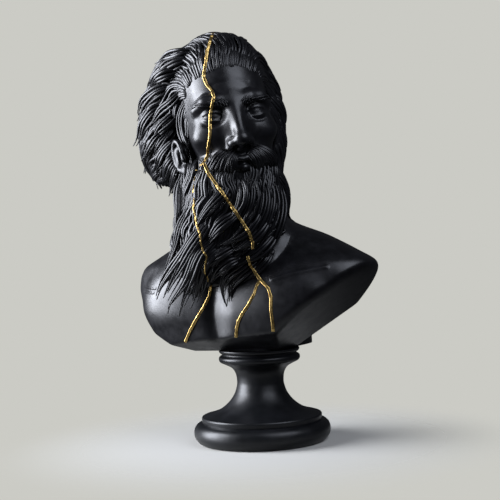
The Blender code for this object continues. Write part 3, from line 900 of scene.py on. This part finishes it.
class Combing:
    """The mass that hair lies on and the way it runs there, on the points of a block of space."""

    def __init__(self, hair, beard, skin):
        self.low, self.voxel = np.array(hair.low), hair.voxel
        self.hair, self.beard, self.skin = hair.field, beard.field, skin
        heights = hair.low[2] - HEAD_CENTRE.z + hair.voxel * np.arange(hair.field.shape[2])
        hanging = np.minimum(hair.field, beard.field)
        whole = joined(hanging, skin, 0.5 + CHEST_FILLET * smooth(*FILLET_HEIGHTS, heights))
        self.field = softened(whole, 7)
        mass = np.where(heights > FILLET_TOP, hanging, np.maximum(whole, hanging - 12.0))
        self.mass = hair.holding(softened(mass))
        self.points = hair.holding(self.field).surface()[0]
        self.outward = unit(np.stack(np.gradient(self.field), axis=-1))
        axes = [low + hair.voxel * np.arange(n) for low, n in zip(hair.low, hair.field.shape)]
        x, y, z = (a - c for a, c in zip(np.meshgrid(*axes, indexing="ij", sparse=True), HEAD_CENTRE))
        x, y, z = np.broadcast_arrays(x, y, z)
        bearded = softened(smooth(-3.0, 3.0, hair.field - beard.field), 1)
        flow = blended(bearded, unit(hair_flow(x, y, z)), unit(beard_flow(x, y, z)))
        flow = unit(flow - self.outward * (flow * self.outward).sum(axis=-1, keepdims=True))
        wander = Lattice(SEEDS["wander"]).read(*(a / WANDER_LENGTH + 9.0 for a in (x, y, z)))
        wander = wander * (HAIR_WANDER + (BEARD_WANDER - HAIR_WANDER) * bearded)
        self.flow = unit(flow + np.cross(self.outward, flow) * wander[..., None]).astype(np.float32)

    def spots(self, points):
        """Which of the block's points lie nearest to places."""
        spots = np.rint((points - self.low) / self.voxel).astype(np.int32)
        return tuple(np.clip(spots[:, i], 0, self.field.shape[i] - 1) for i in range(3))

    def depth(self, points):
        """How far points lie outside the mass, read between the block's points."""
        spots = self.spots(points)
        centre = self.low + self.voxel * np.stack(spots, axis=-1)
        return self.field[spots] + ((points - centre) * self.outward[spots]).sum(axis=-1)


def face_margin(p):
    """How far inside the edge of the bare face points lie, counted from the head's centre."""
    x, y, z = seen_from(HEAD, *(p + HEAD_MIDDLE).T)
    top = HAIRLINE - 0.007 * x * x - z
    sides = np.minimum(FACE_HALF_WIDTH - np.abs(x), FACE_BACK - 0.25 * np.maximum(0.0, z) - y)
    low = z - FACE_LOW - 0.35 * np.abs(x)
    return np.minimum(np.minimum(top, sides), low)


def is_ear(p):
    """Which points, counted from the head's centre, are where the ear shows."""
    x, y, z = seen_from(HEAD, *(p + HEAD_MIDDLE).T)
    return (x < -30.0) & (((y + 15.0) / 4.5) ** 2 + ((z + 33.0) / 6.5) ** 2 < 1.0)


def spread_roots(combing, spacing, seed):
    """Points strewn evenly over the combed surface: one, by lot, from each cell of space it runs through."""
    points = combing.points[np.random.default_rng(seed).permutation(len(combing.points))]
    cells = np.floor(points / spacing).astype(int)
    return points[np.unique(cells, axis=0, return_index=True)[1]]


def at_share(lines, share):
    """Points at a share of the way along each line, a share for each line and step."""
    place = np.clip(share, 0.0, 1.0) * (lines.shape[1] - 1)
    before = np.minimum(place.astype(int), lines.shape[1] - 2)
    part = (place - before)[..., None]
    row = np.arange(len(lines))[:, None]
    return lines[row, before] * (1.0 - part) + lines[row, before + 1] * part


def comb_locks(combing, roots, size, lift, sway, seed):
    """Locks that follow the combing from their roots, as strands that meet at a pointed tip."""
    half_width, thickness, length, count = size
    chance = np.random.default_rng(seed)
    lengths = length * chance.uniform(*LENGTH_RANGE, len(roots))
    x, _, z = (roots - HEAD_MIDDLE).T
    bearded = combing.beard[combing.spots(roots)] < 4.0
    lengths = lengths * np.where(bearded, 1.0, 0.35 + 0.65 * smooth(-95.0, -45.0, z))
    ends = BEARD_END + 1.1 * np.maximum(0.0, x + 5.0)
    lengths = np.minimum(lengths, 1.08 * np.maximum(8.0, z - ends))
    widths = half_width * chance.uniform(*WIDTH_RANGE, len(roots))
    rises = chance.uniform(*lift, len(roots))
    flips = chance.uniform(0.0, 1.0, len(roots)) * np.where(bearded, 0.5, 1.0) * rises
    flips = flips + chance.uniform(0.0, 4.0, len(roots)) * ((x < -38.0) & (z > -50.0))
    phases = Lattice(SEEDS["sway"]).read(*(roots / SWAY_SPREAD).T) * 1.1
    phases = phases + chance.uniform(-0.1, 0.1, len(roots))
    lines, normals = [], []
    place = roots
    for i in range(LOCK_STEPS + 1):
        share = i / LOCK_STEPS
        outward = combing.outward[combing.spots(place)]
        height = rises * (0.2 + 0.8 * share) - (ROOT_DEPTH + rises) * max(0.0, 1.0 - 9.0 * share)
        height = height + flips * smooth(FREE_TIP, 1.0, share) ** 2
        hold = 1.0 - 0.3 * smooth(FREE_TIP, 1.0, share)
        place = place - outward * ((combing.depth(place) - height) * hold)[:, None]
        lines.append(place)
        normals.append(outward)
        flow = combing.flow[combing.spots(place)]
        bend = np.cos(2.0 * math.pi * (share * lengths / SWAY_LENGTH + phases))
        bend = bend * sway * 2.0 * math.pi / SWAY_LENGTH
        flow = unit(flow + np.cross(outward, flow) * bend[:, None])
        place = place + flow * (lengths / LOCK_STEPS)[:, None]
    lines, normals = np.stack(lines, axis=1), np.stack(normals, axis=1)
    clear = np.array([not is_ear(line[2:] - HEAD_MIDDLE).any() for line in lines])
    return lock_strands(lines[clear], normals[clear], widths[clear], thickness, count, chance, combing)


def own_axes(lines, normals):
    """The ways along, across and out of lines at each of their steps."""
    along = unit(np.gradient(lines, axis=1))
    across = unit(np.cross(along, normals))
    return along, across, np.cross(across, along)


def gathered(parts):
    """Strands from several places as one array of lines and one of outward ways."""
    return tuple(np.concatenate(rows) for rows in zip(*parts))


def lock_strands(lines, normals, widths, thickness, count, chance, combing=None):
    """Splits locks into strands that lie side by side over a round back and draw in to one tip."""
    share = np.linspace(0.0, 1.0, lines.shape[1])
    _, across, out = own_axes(lines, normals)
    spread = (0.6 + 0.4 * smooth(0.0, 0.3, share)) * (1.0 - 0.78 * smooth(0.5, 1.0, share))
    arch = np.sin(math.pi * np.clip(share * 1.1, 0.0, 1.0)) * 0.9 + 0.1
    strands = []
    for k in range(count):
        side = (2.0 * k + 1.0) / count - 1.0 + chance.uniform(-0.12, 0.12, len(lines))
        sway = 0.22 * np.sin(2.0 * math.pi * (share + chance.uniform(0.0, 1.0, (len(lines), 1)))) * share
        offset = widths[:, None] * (side[:, None] + sway) * spread
        height = thickness * np.sqrt(np.maximum(0.0, 1.0 - side * side))[:, None] * arch
        points = lines + across * offset[..., None]
        if combing is not None:
            sunk = combing.depth(lines.reshape(-1, 3)) - combing.depth(points.reshape(-1, 3))
            points = points + out * (0.8 * np.clip(sunk, -6.0, 6.0).reshape(height.shape))[..., None]
        points = points + out * (height - STRAND_RADIUS)[..., None]
        reach = chance.uniform(*REACH_RANGE, len(lines))[:, None] * share[None, :]
        strands.append((at_share(points, reach), at_share(out, reach)))
    points, outs = gathered(strands)
    order = np.argsort(np.tile(np.arange(len(lines)), count), kind="stable")
    return points[order], outs[order]


def strand_skin(points, outs, radius=STRAND_RADIUS):
    """The skin of strands along their lines: full past the root and drawn in to a point at the tip."""
    chance = np.random.default_rng(SEEDS["girth"])
    share = np.linspace(0.0, 1.0, points.shape[1])
    girth = np.minimum(0.3 + 0.7 * smooth(0.0, 0.15, share), 1.0 - smooth(0.6, 1.0, share) * 0.72)
    girth = girth[None, :] * radius * chance.uniform(*GIRTH_RANGE, (len(points), 1))
    along, across, out = own_axes(points, outs)
    turn = np.radians(STRAND_RING)
    rings = points[:, :, None] + (
        across[:, :, None] * (np.cos(turn)[:, None] * girth[:, :, None, None])
        + out[:, :, None] * (np.sin(turn)[:, None] * girth[:, :, None, None])
    )
    amount, steps, sides = rings.shape[:3]
    ring = np.arange(steps * sides).reshape(steps, sides)
    after = np.roll(ring, -1, axis=1)
    a, b, c, d = ring[:-1], after[:-1], after[1:], ring[1:]
    walls = np.concatenate([np.stack((a, c, b), -1).reshape(-1, 3), np.stack((a, d, c), -1).reshape(-1, 3)])
    start, end = steps * sides, steps * sides + 1
    caps = [(start, ring[0, i], after[0, i]) for i in range(sides)]
    caps += [(end, after[-1, i], ring[-1, i]) for i in range(sides)]
    faces = np.concatenate([walls, np.array(caps)])
    tips = np.stack([points[:, 0], points[:, -1] + along[:, -1] * 1.2], axis=1)
    corners = np.concatenate([rings.reshape(amount, -1, 3), tips], axis=1)
    each = corners.shape[1]
    faces = faces[None] + (np.arange(amount) * each)[:, None, None]
    return face_mesh("strands", corners.reshape(-1, 3), faces.reshape(-1, 3))


def face_mesh(name, points, faces):
    """A mesh from points and faces that all have as many corners."""
    mesh = bpy.data.meshes.new(name)
    mesh.vertices.add(len(points))
    mesh.vertices.foreach_set("co", np.asarray(points, np.float32).ravel())
    mesh.loops.add(faces.size)
    mesh.loops.foreach_set("vertex_index", faces.astype(np.int32).ravel())
    mesh.polygons.add(len(faces))
    mesh.polygons.foreach_set("loop_start", np.arange(0, faces.size, faces.shape[1], dtype=np.int32))
    mesh.update()
    return mesh


def push_in(mesh, points, normals, depths):
    """Moves a mesh's vertices in along their normals."""
    mesh.vertices.foreach_set("co", (points - normals * depths[:, None]).astype(np.float32).ravel())
    mesh.update()


def comb_grooves(mesh, combing):
    """Draws grooves along the masses: random numbers averaged along the combing give their course."""
    points, normals = vertex_values(mesh), vertex_values(mesh, "normal")
    spots = combing.spots(points)
    hanging = np.minimum(combing.hair[spots], combing.beard[spots])
    hairy = (1.0 - smooth(1.0, 3.0, hanging)) * smooth(0.5, 2.0, combing.skin[spots])
    chosen = np.nonzero(hairy > 0.0)[0]
    start = points[chosen]
    lattice = Lattice(SEEDS["grooves"])
    total = lattice.read(*(start / (0.55 * GROOVE_WIDTH)).T)
    for way in (-1.0, 1.0):
        place = start
        for _ in range(GROOVE_STEPS):
            place = place + combing.flow[combing.spots(place)] * (way * GROOVE_STEP)
            total = total + lattice.read(*(place / (0.55 * GROOVE_WIDTH)).T)
    total = total / total.std()
    groove = 1.0 - (np.minimum(np.abs(total), 1.3) / 1.3) ** 0.8
    depths = np.zeros(len(points), np.float32)
    depths[chosen] = GROOVE_DEPTH * groove * hairy[chosen]
    push_in(mesh, points, normals, depths)


def photo_ray(across, down):
    """The way from the camera to a place in the photograph, given in its pixels."""
    scale = SENSOR_WIDTH / (PHOTO_SIZE * FOCAL_LENGTH)
    toward = Vector(((across - PHOTO_SIZE / 2.0) * scale, (PHOTO_SIZE / 2.0 - down) * scale, -1.0))
    return (CAMERA_TILT.to_matrix() @ toward).normalized()


def first_met(trees, ray, missed):
    """How far from the eye a ray meets the nearest of several skins, or what a miss gives."""
    hits = [tree.ray_cast(EYE, ray)[3] for tree in trees]
    return min((hit for hit in hits if hit is not None), default=missed)


def eased(values, rounds):
    """A run of values with its corners rounded and its ends left where they are."""
    for _ in range(rounds):
        inner = (values[:-2] + 2.0 * values[1:-1] + values[2:]) / 4.0
        values = np.concatenate([values[:1], inner, values[-1:]])
    return values


def draw_locks(meshes):
    """The drawn locks, laid on what the camera sees behind them.

    Past the outline they keep their depth, and behind it they fall back only as fast as a lock bends.
    """
    trees = [skin_tree(mesh) for mesh in meshes]
    courses = []
    for _, lift, path in DRAWN_LOCKS:
        spots = eased(even_path(path, count=3 * LOCK_STEPS + 1), 12)[::3]
        rays = np.array([photo_ray(*spot) for spot in spots])
        depths = []
        for ray in rays:
            met = first_met(trees, Vector(ray), None)
            if depths:
                met = depths[-1] if met is None else min(met, depths[-1] + FALL_BACK)
            depths.append(met)
        share = np.linspace(0.0, 1.0, len(depths))
        height = (lift + ROOT_DEPTH) * smooth(0.0, 0.35, share) - ROOT_DEPTH
        depths = eased(np.array(depths), 5) - height
        courses.append((np.array(EYE) + rays * depths[:, None], unit(LOCK_LEAN - rays)))
    return courses


def bent_strand(frame, root, middle, tip):
    """The course of a strand along one bend, for the moustache, the chin and the brows."""
    a, b, c = (frame @ Vector(p) for p in (root, middle, tip))
    points = []
    for i in range(LOCK_STEPS + 1):
        share = i / LOCK_STEPS
        points.append(a.lerp(b, share).lerp(b.lerp(c, share), share))
    outward = (frame.to_3x3() @ Vector((0.0, -1.0, 0.0))).normalized()
    return points, [outward] * len(points)


def moustache_locks():
    """Locks from under the nose, parted in the middle, that droop past the mouth."""
    courses, widths = [], []
    for side in SIDES:
        for layer, count in ((0.0, 6), (1.0, 5)):
            for i in range(count):
                t = (i + 0.5 * layer) / 5.0
                root = Vector(((1.6 + 10.5 * t) * side, -50.0 + 3.0 * t - layer, -26.5 + 2.5 * t))
                drop = -47.0 + 3.0 * t - 2.0 * layer
                tip = Vector(((9.0 + 20.0 * t) * side, -45.5 + 10.0 * t - layer, drop))
                middle = (root + tip) / 2.0 + Vector((4.5 * side, -7.0 - 1.5 * layer, 5.5 - 3.0 * t))
                courses.append(bent_strand(FACE, root, middle, tip))
                widths.append(MOUSTACHE_WIDTH)
    return courses, widths


def chin_locks():
    """The tuft under the lower lip and the beard's beginning on the chin."""
    courses, widths = [], []
    for layer in (0.0, 1.0):
        for i in range(-3, 4):
            x = i + 0.4 * layer
            root = (3.4 * x, -45.0 + 0.5 * abs(x) - layer, -42.5 - 6.0 * layer)
            middle = (5.6 * x, -54.0 - 1.5 * layer, -52.0 - 8.0 * layer)
            tip = (6.0 * x - 4.0 - 3.0 * layer, -46.0, -74.0 - 8.0 * layer + 1.5 * abs(x))
            courses.append(bent_strand(FACE, root, middle, tip))
            widths.append(CHIN_WIDTH)
    return courses, widths


def brow_strands():
    """Courses of single hairs that sweep out along the brows."""
    courses = []
    for side in SIDES:
        for i in range(16):
            x = 4.0 + 1.55 * i
            for low in (0.0, 1.0):
                root = Vector((x * side, -46.4 + 0.014 * x * x, 9.3 + 0.16 * x - 2.0 * low))
                tip = root + Vector((5.5 * side, 1.2 + 0.03 * x, 3.6 - 0.34 * i + 1.2 * low))
                middle = (root + tip) / 2.0 + Vector((0.0, -1.6, 0.7))
                courses.append(bent_strand(FACE, root, middle, tip))
    return courses


def carve_mass(forms, depth, blend):
    """A plain mass of forms round the head and shoulders, taken in by a depth, to comb hair over."""
    mass = Carving(*MASS_BLOCK, MASS_VOXEL)
    for centre, radii in forms:
        mass.add(oval(VIEW, centre, tuple(radius - depth for radius in radii)), blend)
    return mass


def one_mesh(name, surfaces):
    """Closed surfaces that overlap, as one mesh of points and faces."""
    firsts = np.cumsum([0] + [len(points) for points, _ in surfaces])
    faces = [quads.astype(np.int64) + first for (_, quads), first in zip(surfaces, firsts)]
    return face_mesh(name, np.concatenate([points for points, _ in surfaces]), np.concatenate(faces))


def evaluated(mesh, kind, settings):
    """The mesh as a modifier with these settings leaves it."""
    helper = bpy.data.objects.new("helper", mesh)
    bpy.context.scene.collection.objects.link(helper)
    modifier = helper.modifiers.new(kind, kind)
    for name, value in settings.items():
        setattr(modifier, name, value)
    graph = bpy.context.evaluated_depsgraph_get()
    result = bpy.data.meshes.new_from_object(helper.evaluated_get(graph))
    bpy.data.objects.remove(helper, do_unlink=True)
    return result


def vertex_values(mesh, name="co"):
    """All vertex places, or normals, as rows."""
    values = np.empty(len(mesh.vertices) * 3, np.float32)
    source, field = (mesh.vertices, "co") if name == "co" else (mesh.vertex_normals, "vector")
    source.foreach_get(field, values)
    return values.reshape(-1, 3)


def in_photo_plane(points):
    """Where points fall on the upright plane through the socle's axis, seen from the camera."""
    eye = np.array(CAMERA_PLACE) / PART
    world = points + np.array((0.0, 0.0, SEAT / PART))
    share = -eye[1] / (world[:, 1] - eye[1])
    return eye[0] + (world[:, 0] - eye[0]) * share, eye[2] + (world[:, 2] - eye[2]) * share


def away_from_path(across, up, path):
    """Distance to a path in the photo plane."""
    nearest = np.full(len(across), 1e3)
    for (x1, z1), (x2, z2) in zip(path, path[1:]):
        dx, dz = x2 - x1, z2 - z1
        share = np.clip(((across - x1) * dx + (up - z1) * dz) / (dx * dx + dz * dz), 0.0, 1.0)
        nearest = np.minimum(nearest, np.hypot(across - x1 - share * dx, up - z1 - share * dz))
    return nearest


def carve_chest_lines(mesh):
    """Collarbone, breastbone furrow and armpit folds."""
    points, normals = vertex_values(mesh), vertex_values(mesh, "normal")
    across, up = in_photo_plane(points)
    depths = np.zeros(len(points))
    for half_width, depth, path in CHEST_LINES:
        away = away_from_path(across, up, path)
        depths += depth * np.exp(-((away / half_width) ** 2))
    depths[normals[:, 1] > 0.1] = 0.0
    push_in(mesh, points, normals, depths)


def keep_largest(bm):
    """Keeps only the biggest piece of a mesh."""
    left = set(bm.verts)
    pieces = []
    while left:
        stack = [left.pop()]
        piece = set(stack)
        while stack:
            for edge in stack.pop().link_edges:
                for vert in edge.verts:
                    if vert in left:
                        left.discard(vert)
                        piece.add(vert)
                        stack.append(vert)
        pieces.append(piece)
    pieces.sort(key=len)
    small = [vert for piece in pieces[:-1] for vert in piece]
    bmesh.ops.delete(bm, geom=small, context="VERTS")


def cast_bust():
    """Trunk, head and the masses under the hair joined into one skin, and the combing of the hair."""
    trunk, head = carve_trunk(), carve_head()
    hair = carve_mass(HAIR_FORMS, HAIR_INSET, HAIR_BLEND)
    beard = carve_mass(BEARD_FORMS, BEARD_INSET, BEARD_BLEND)
    skin = np.minimum(trunk.matched(hair), head.matched(hair))
    combing = Combing(hair, beard, skin)
    pile = one_mesh("cast", [block.surface() for block in (trunk, head, combing.mass)])
    cast = evaluated(pile, "REMESH", {"mode": "VOXEL", "voxel_size": CAST_VOXEL, "adaptivity": 0.0})
    comb_grooves(cast, combing)
    return cast, combing


def thinned(mesh):
    """The cast with fewer faces: they stay small where it is carved."""
    return evaluated(mesh, "DECIMATE", {"ratio": CAST_TRIANGLES / (2.0 * len(mesh.polygons))})


def make_bust(material):
    """The cast, its strands and its painted lines, as pieces of the figure."""
    mesh, combing = cast_bust()
    carve_chest_lines(mesh)
    mesh = thinned(mesh)
    bm = bmesh.new()
    bm.from_mesh(mesh)
    keep_largest(bm)
    geometry = bm.verts[:] + bm.edges[:] + bm.faces[:]
    cut = bmesh.ops.bisect_plane(
        bm, geom=geometry, plane_co=(0.0, 0.0, 0.0), plane_no=(0.0, 0.0, -1.0), clear_outer=True
    )
    edges = [e for e in cut["geom_cut"] if isinstance(e, bmesh.types.BMEdge)]
    bmesh.ops.contextual_create(bm, geom=edges)
    bmesh.ops.triangulate(bm, faces=bm.faces)
    bm.to_mesh(mesh)
    bm.free()
    parts = {"carved_bust": mesh, **make_hair(combing, mesh)}
    film = paint_crack_lines(list(parts.values()))
    for name, part in parts.items():
        stand_on_socle(part)
        piece = put_piece(name, part, material)
        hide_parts("bust")
    mesh.set_sharp_from_angle(angle=CAST_EDGE)
    stand_on_socle(film)
    put_piece("gold_crack_lines", film, gold_paint())


def stand_on_socle(mesh):
    """From the figure's own parts to metres, up on its socle."""
    mesh.transform(Matrix.Translation((0.0, 0.0, SEAT)) @ Matrix.Diagonal((PART, PART, PART, 1.0)))
    mesh.shade_smooth()


def turned_outline():
    """The socle's outline with its mouldings drawn as curves between the sharp edges."""
    outline = []
    for run in SOCLE_RUNS:
        ends = [run[0], *run, run[-1]]
        for i in range(len(run) - 1):
            p0, p1, p2, p3 = (np.array(point) for point in ends[i : i + 4])
            for t in np.linspace(0.0, 1.0, 6, endpoint=False):
                curve = 2.0 * p1 + (p2 - p0) * t + (2.0 * p0 - 5.0 * p1 + 4.0 * p2 - p3) * t * t
                outline.append((curve + (3.0 * p1 - p0 - 3.0 * p2 + p3) * t**3) / 2.0)
        outline.append(np.array(run[-1]))
    return outline


def make_socle(material):
    """The turned foot, spun finely from its outline."""
    low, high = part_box("socle")
    radius, height = (high.x - low.x) / 2.0, high.z - low.z
    turns = [2.0 * math.pi * i / SOCLE_SIDES for i in range(SOCLE_SIDES)]
    bm = bmesh.new()
    rings = []
    for share, level in turned_outline():
        out, up = share * radius, level * height
        rings.append([bm.verts.new((out * math.cos(turn), out * math.sin(turn), up)) for turn in turns])
    for lower, upper in zip(rings, rings[1:]):
        for i in range(SOCLE_SIDES):
            j = (i + 1) % SOCLE_SIDES
            bm.faces.new((lower[i], lower[j], upper[j], upper[i]))
    bm.faces.new(list(reversed(rings[0])))
    bm.faces.new(rings[-1])
    bmesh.ops.remove_doubles(bm, verts=bm.verts, dist=1e-7)
    mesh = bpy.data.meshes.new("socle")
    bm.to_mesh(mesh)
    bm.free()
    mesh.shade_smooth()
    mesh.set_sharp_from_angle(angle=SOCLE_EDGE)
    socle = put_piece("turned_socle", mesh, material)
    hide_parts("socle")


def make_hair(combing, bust):
    """The strands of hair, beard, moustache and brows, as pieces that lie on the cast's masses."""
    hair, beard = [], []
    for layer, (lift, spread, margin) in enumerate(LOCK_LAYERS):
        roots = spread_roots(combing, HAIR_SPACING * spread, SEEDS["hair_roots"] + layer)
        roots = roots[hair_allowed(combing, roots, margin)]
        hair.append(comb_locks(combing, roots, HAIR_LOCK, lift, HAIR_SWAY, SEEDS["hair"] + layer))
        roots = spread_roots(combing, BEARD_SPACING * spread, SEEDS["beard_roots"] + layer)
        roots = roots[beard_allowed(combing, roots)]
        beard.append(comb_locks(combing, roots, BEARD_LOCK, lift, BEARD_SWAY, SEEDS["beard"] + layer))
    roots = spread_roots(combing, HAIRLINE_SPACING, SEEDS["hairline_roots"])
    edge = face_margin(roots - HEAD_MIDDLE) > -HAIRLINE_DEPTH
    roots = roots[edge & hair_allowed(combing, roots, 0.0)]
    hair.append(comb_locks(combing, roots, HAIRLINE_LOCK, HAIRLINE_LIFT, HAIRLINE_SWAY, SEEDS["hairline"]))
    points, outs = gathered(hair)
    middle = points[:, 0] - HEAD_MIDDLE
    order = np.argsort(np.arctan2(middle[:, 0], middle[:, 1] - 10.0), kind="stable")
    pieces = {}
    for name, part in zip(("left", "front", "right"), np.array_split(order, 3)):
        pieces[f"{name}_hair_strands"] = strand_skin(points[part], outs[part])
    pieces["beard_strands"] = strand_skin(*gathered(beard))
    widths = [width for width, _, _ in DRAWN_LOCKS]
    drawn = free_locks((draw_locks([bust, *pieces.values()]), widths), *DRAWN_LOCK)
    pieces["long_lock_strands"] = strand_skin(*drawn, DRAWN_RADIUS)
    mouth = [free_locks(moustache_locks(), *MOUSTACHE_LOCK), free_locks(chin_locks(), *CHIN_LOCK)]
    pieces["moustache_strands"] = strand_skin(*gathered(mouth), MOUSTACHE_RADIUS)
    pieces["brow_strands"] = strand_skin(*laid_on(bust, brow_strands(), BROW_LIFT), BROW_RADIUS)
    return pieces


def laid_on(mesh, courses, lift):
    """Courses moved to the nearest place on a skin, and a little above it."""
    tree = skin_tree(mesh)
    points, outs = [], []
    for course, _ in courses:
        met = [tree.find_nearest(point) for point in course]
        points.append([place + normal * lift for place, normal, _, _ in met])
        outs.append([normal for _, normal, _, _ in met])
    return np.array(points, float), np.array(outs, float)


def skin_tree(mesh):
    """A search tree of a mesh of triangles."""
    corners = np.empty(len(mesh.loops), np.int32)
    mesh.loops.foreach_get("vertex_index", corners)
    return BVHTree.FromPolygons(vertex_values(mesh).tolist(), corners.reshape(-1, 3).tolist())


def free_locks(drawn, thickness, count, seed):
    """Locks along courses of their own, given with their half widths, as strands."""
    courses, widths = drawn
    lines, normals = (np.array([course[i] for course in courses], float) for i in (0, 1))
    return lock_strands(lines, normals, np.array(widths), thickness, count, np.random.default_rng(seed))


def hair_allowed(combing, roots, margin):
    """Which roots lie where hair grows, at least so far outside the face's edge."""
    p = roots - HEAD_MIDDLE
    spots = combing.spots(roots)
    on_hair = (combing.hair[spots] < 3.0) | (p[:, 2] > -12.0)
    bearded = combing.beard[spots] < combing.hair[spots] - 1.0
    low = p[:, 2] > -74.0 - 14.0 * smooth(16.0, 28.0, p[:, 0]) + 0.4 * np.maximum(0.0, -p[:, 1])
    low &= (p[:, 2] > -52.0) | (p[:, 0] > -20.0)
    return on_hair & ~bearded & low & (face_margin(p) < margin)


def beard_allowed(combing, roots):
    """Which roots lie where the beard grows or where its locks lie on the chest."""
    p = roots - HEAD_MIDDLE
    spots = combing.spots(roots)
    on_chest = inside_outline(p[:, 0], p[:, 2], BEARD_ROOTS)
    on_beard = (combing.beard[spots] < 2.5) | on_chest
    return on_beard & (combing.outward[spots][:, 1] < 0.4) & (p[:, 2] < -18.0) & (face_margin(p) < 0.0)


def inside_outline(x, z, outline):
    """Which places lie inside a closed outline."""
    inside = np.zeros(len(x), bool)
    for (x1, z1), (x2, z2) in zip(outline, (*outline[1:], outline[0])):
        crosses = (z1 > z) != (z2 > z)
        with np.errstate(divide="ignore", invalid="ignore"):
            inside ^= crosses & (x < x1 + (z - z1) * (x2 - x1) / (z2 - z1))
    return inside


def put_piece(name, mesh, material):
    """Puts a finished mesh on the part's one body, under its name."""
    mesh.name = name
    mesh.materials.clear()
    mesh.materials.append(material)
    piece = bpy.data.objects.new(name, mesh)
    bpy.context.scene.collection.objects.link(piece)
    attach(piece, "root")
    return piece


def paint_crack_lines(meshes):
    """A thin closed film of paint over what the brush meets on the crack lines, as seen from in front."""
    trees = [skin_tree(mesh) for mesh in meshes]
    bm = bmesh.new()
    for half_width, reach, path in CRACK_LINES:
        depths, rays = brushed(trees, half_width, path)
        put_film(bm, settled(depths, reach), rays)
    film = bpy.data.meshes.new("film")
    bm.to_mesh(film)
    bm.free()
    return film


def brushed(trees, half_width, path):
    """How far off a grid of rays along a line meets the figure, and the way of each ray."""
    spots = even_path(path)
    along = unit(np.gradient(spots, axis=0))
    sideways = np.stack((-along[:, 1], along[:, 0]), axis=1)
    depths = np.empty((len(spots), PAINT_ROWS))
    rays = {}
    for i, spot in enumerate(spots):
        width = half_width * (0.95 + 0.08 * math.sin(0.31 * i) * math.sin(0.17 * i))
        for j, lane in enumerate(np.linspace(-1.0, 1.0, PAINT_ROWS)):
            across, up = spot + sideways[i] * lane * width
            rays[i, j] = (Vector((across, 0.0, up - SEAT / PART)) - EYE).normalized()
            depths[i, j] = first_met(trees, rays[i, j], NO_HIT)
    return depths, rays


def settled(depths, reach):
    """The depths that paint lies at: it bridges fine grooves and misses what the brush doesn't reach."""
    nearest = depths.copy()
    for shift in range(1, PAINT_SEARCH + 1):
        nearest[shift:] = np.minimum(nearest[shift:], depths[:-shift])
        nearest[:-shift] = np.minimum(nearest[:-shift], depths[shift:])
    nearest = nearest.min(axis=1, keepdims=True)
    bridged = np.minimum(depths, nearest + PAINT_BRIDGE)
    for _ in range(PAINT_ROUNDS):
        bridged = np.minimum(depths, eased(bridged, 1))
    return np.where(depths > nearest + reach, NO_HIT, bridged)


def even_path(path, step=PAINT_STEP, count=None):
    """Points at even steps along a path, or as many as are asked for."""
    corners = np.array(path, float)
    gone = np.concatenate(([0.0], np.cumsum(np.hypot(*np.diff(corners, axis=0).T))))
    marks = np.linspace(0.0, gone[-1], count or int(gone[-1] / step) + 1)
    return np.stack([np.interp(marks, gone, corners[:, i]) for i in (0, 1)], axis=1)


def put_film(bm, depths, rays):
    """Lays the film over a grid of depths along rays, and leaves it open where one jumps back."""
    made = {}
    rows, lanes = depths.shape

    def corner(key):
        if key not in made:
            top = depths[key] - PAINT_LIFT * (1.0 if 0 < key[1] < lanes - 1 else PAINT_EDGE)
            made[key] = tuple(bm.verts.new(EYE + rays[key] * depth) for depth in (top, top + PAINT_ROOT))
        return made[key]

    tops = []
    for i in range(rows - 1):
        for j in range(lanes - 1):
            keys = ((i, j), (i, j + 1), (i + 1, j + 1), (i + 1, j))
            deep = [depths[key] for key in keys]
            if max(deep) < NO_HIT and max(deep) - min(deep) < PAINT_BREAK:
                tops.append(bm.faces.new([corner(key)[0] for key in keys]))
    under = {top: bottom for top, bottom in made.values()}
    rims = [edge for face in tops for edge in face.edges if edge.is_boundary]
    for face in tops:
        bm.faces.new([under[vert] for vert in reversed(face.verts)])
    for edge in rims:
        loop = edge.link_loops[0]
        a, b = loop.vert, loop.link_loop_next.vert
        bm.faces.new((b, a, under[a], under[b]))


make_camera()
make_room()
for light in LIGHTS:
    make_soft_light(*light)
make_floor()

make_bust(cast_resin("satin_black_resin", roughness=0.35, shine=0.3, **BUST_COAT))
make_socle(cast_resin("lacquered_black_resin", roughness=0.38, shine=0.24, **SOCLE_COAT))

bpy.context.scene.view_settings.view_transform = "Standard"
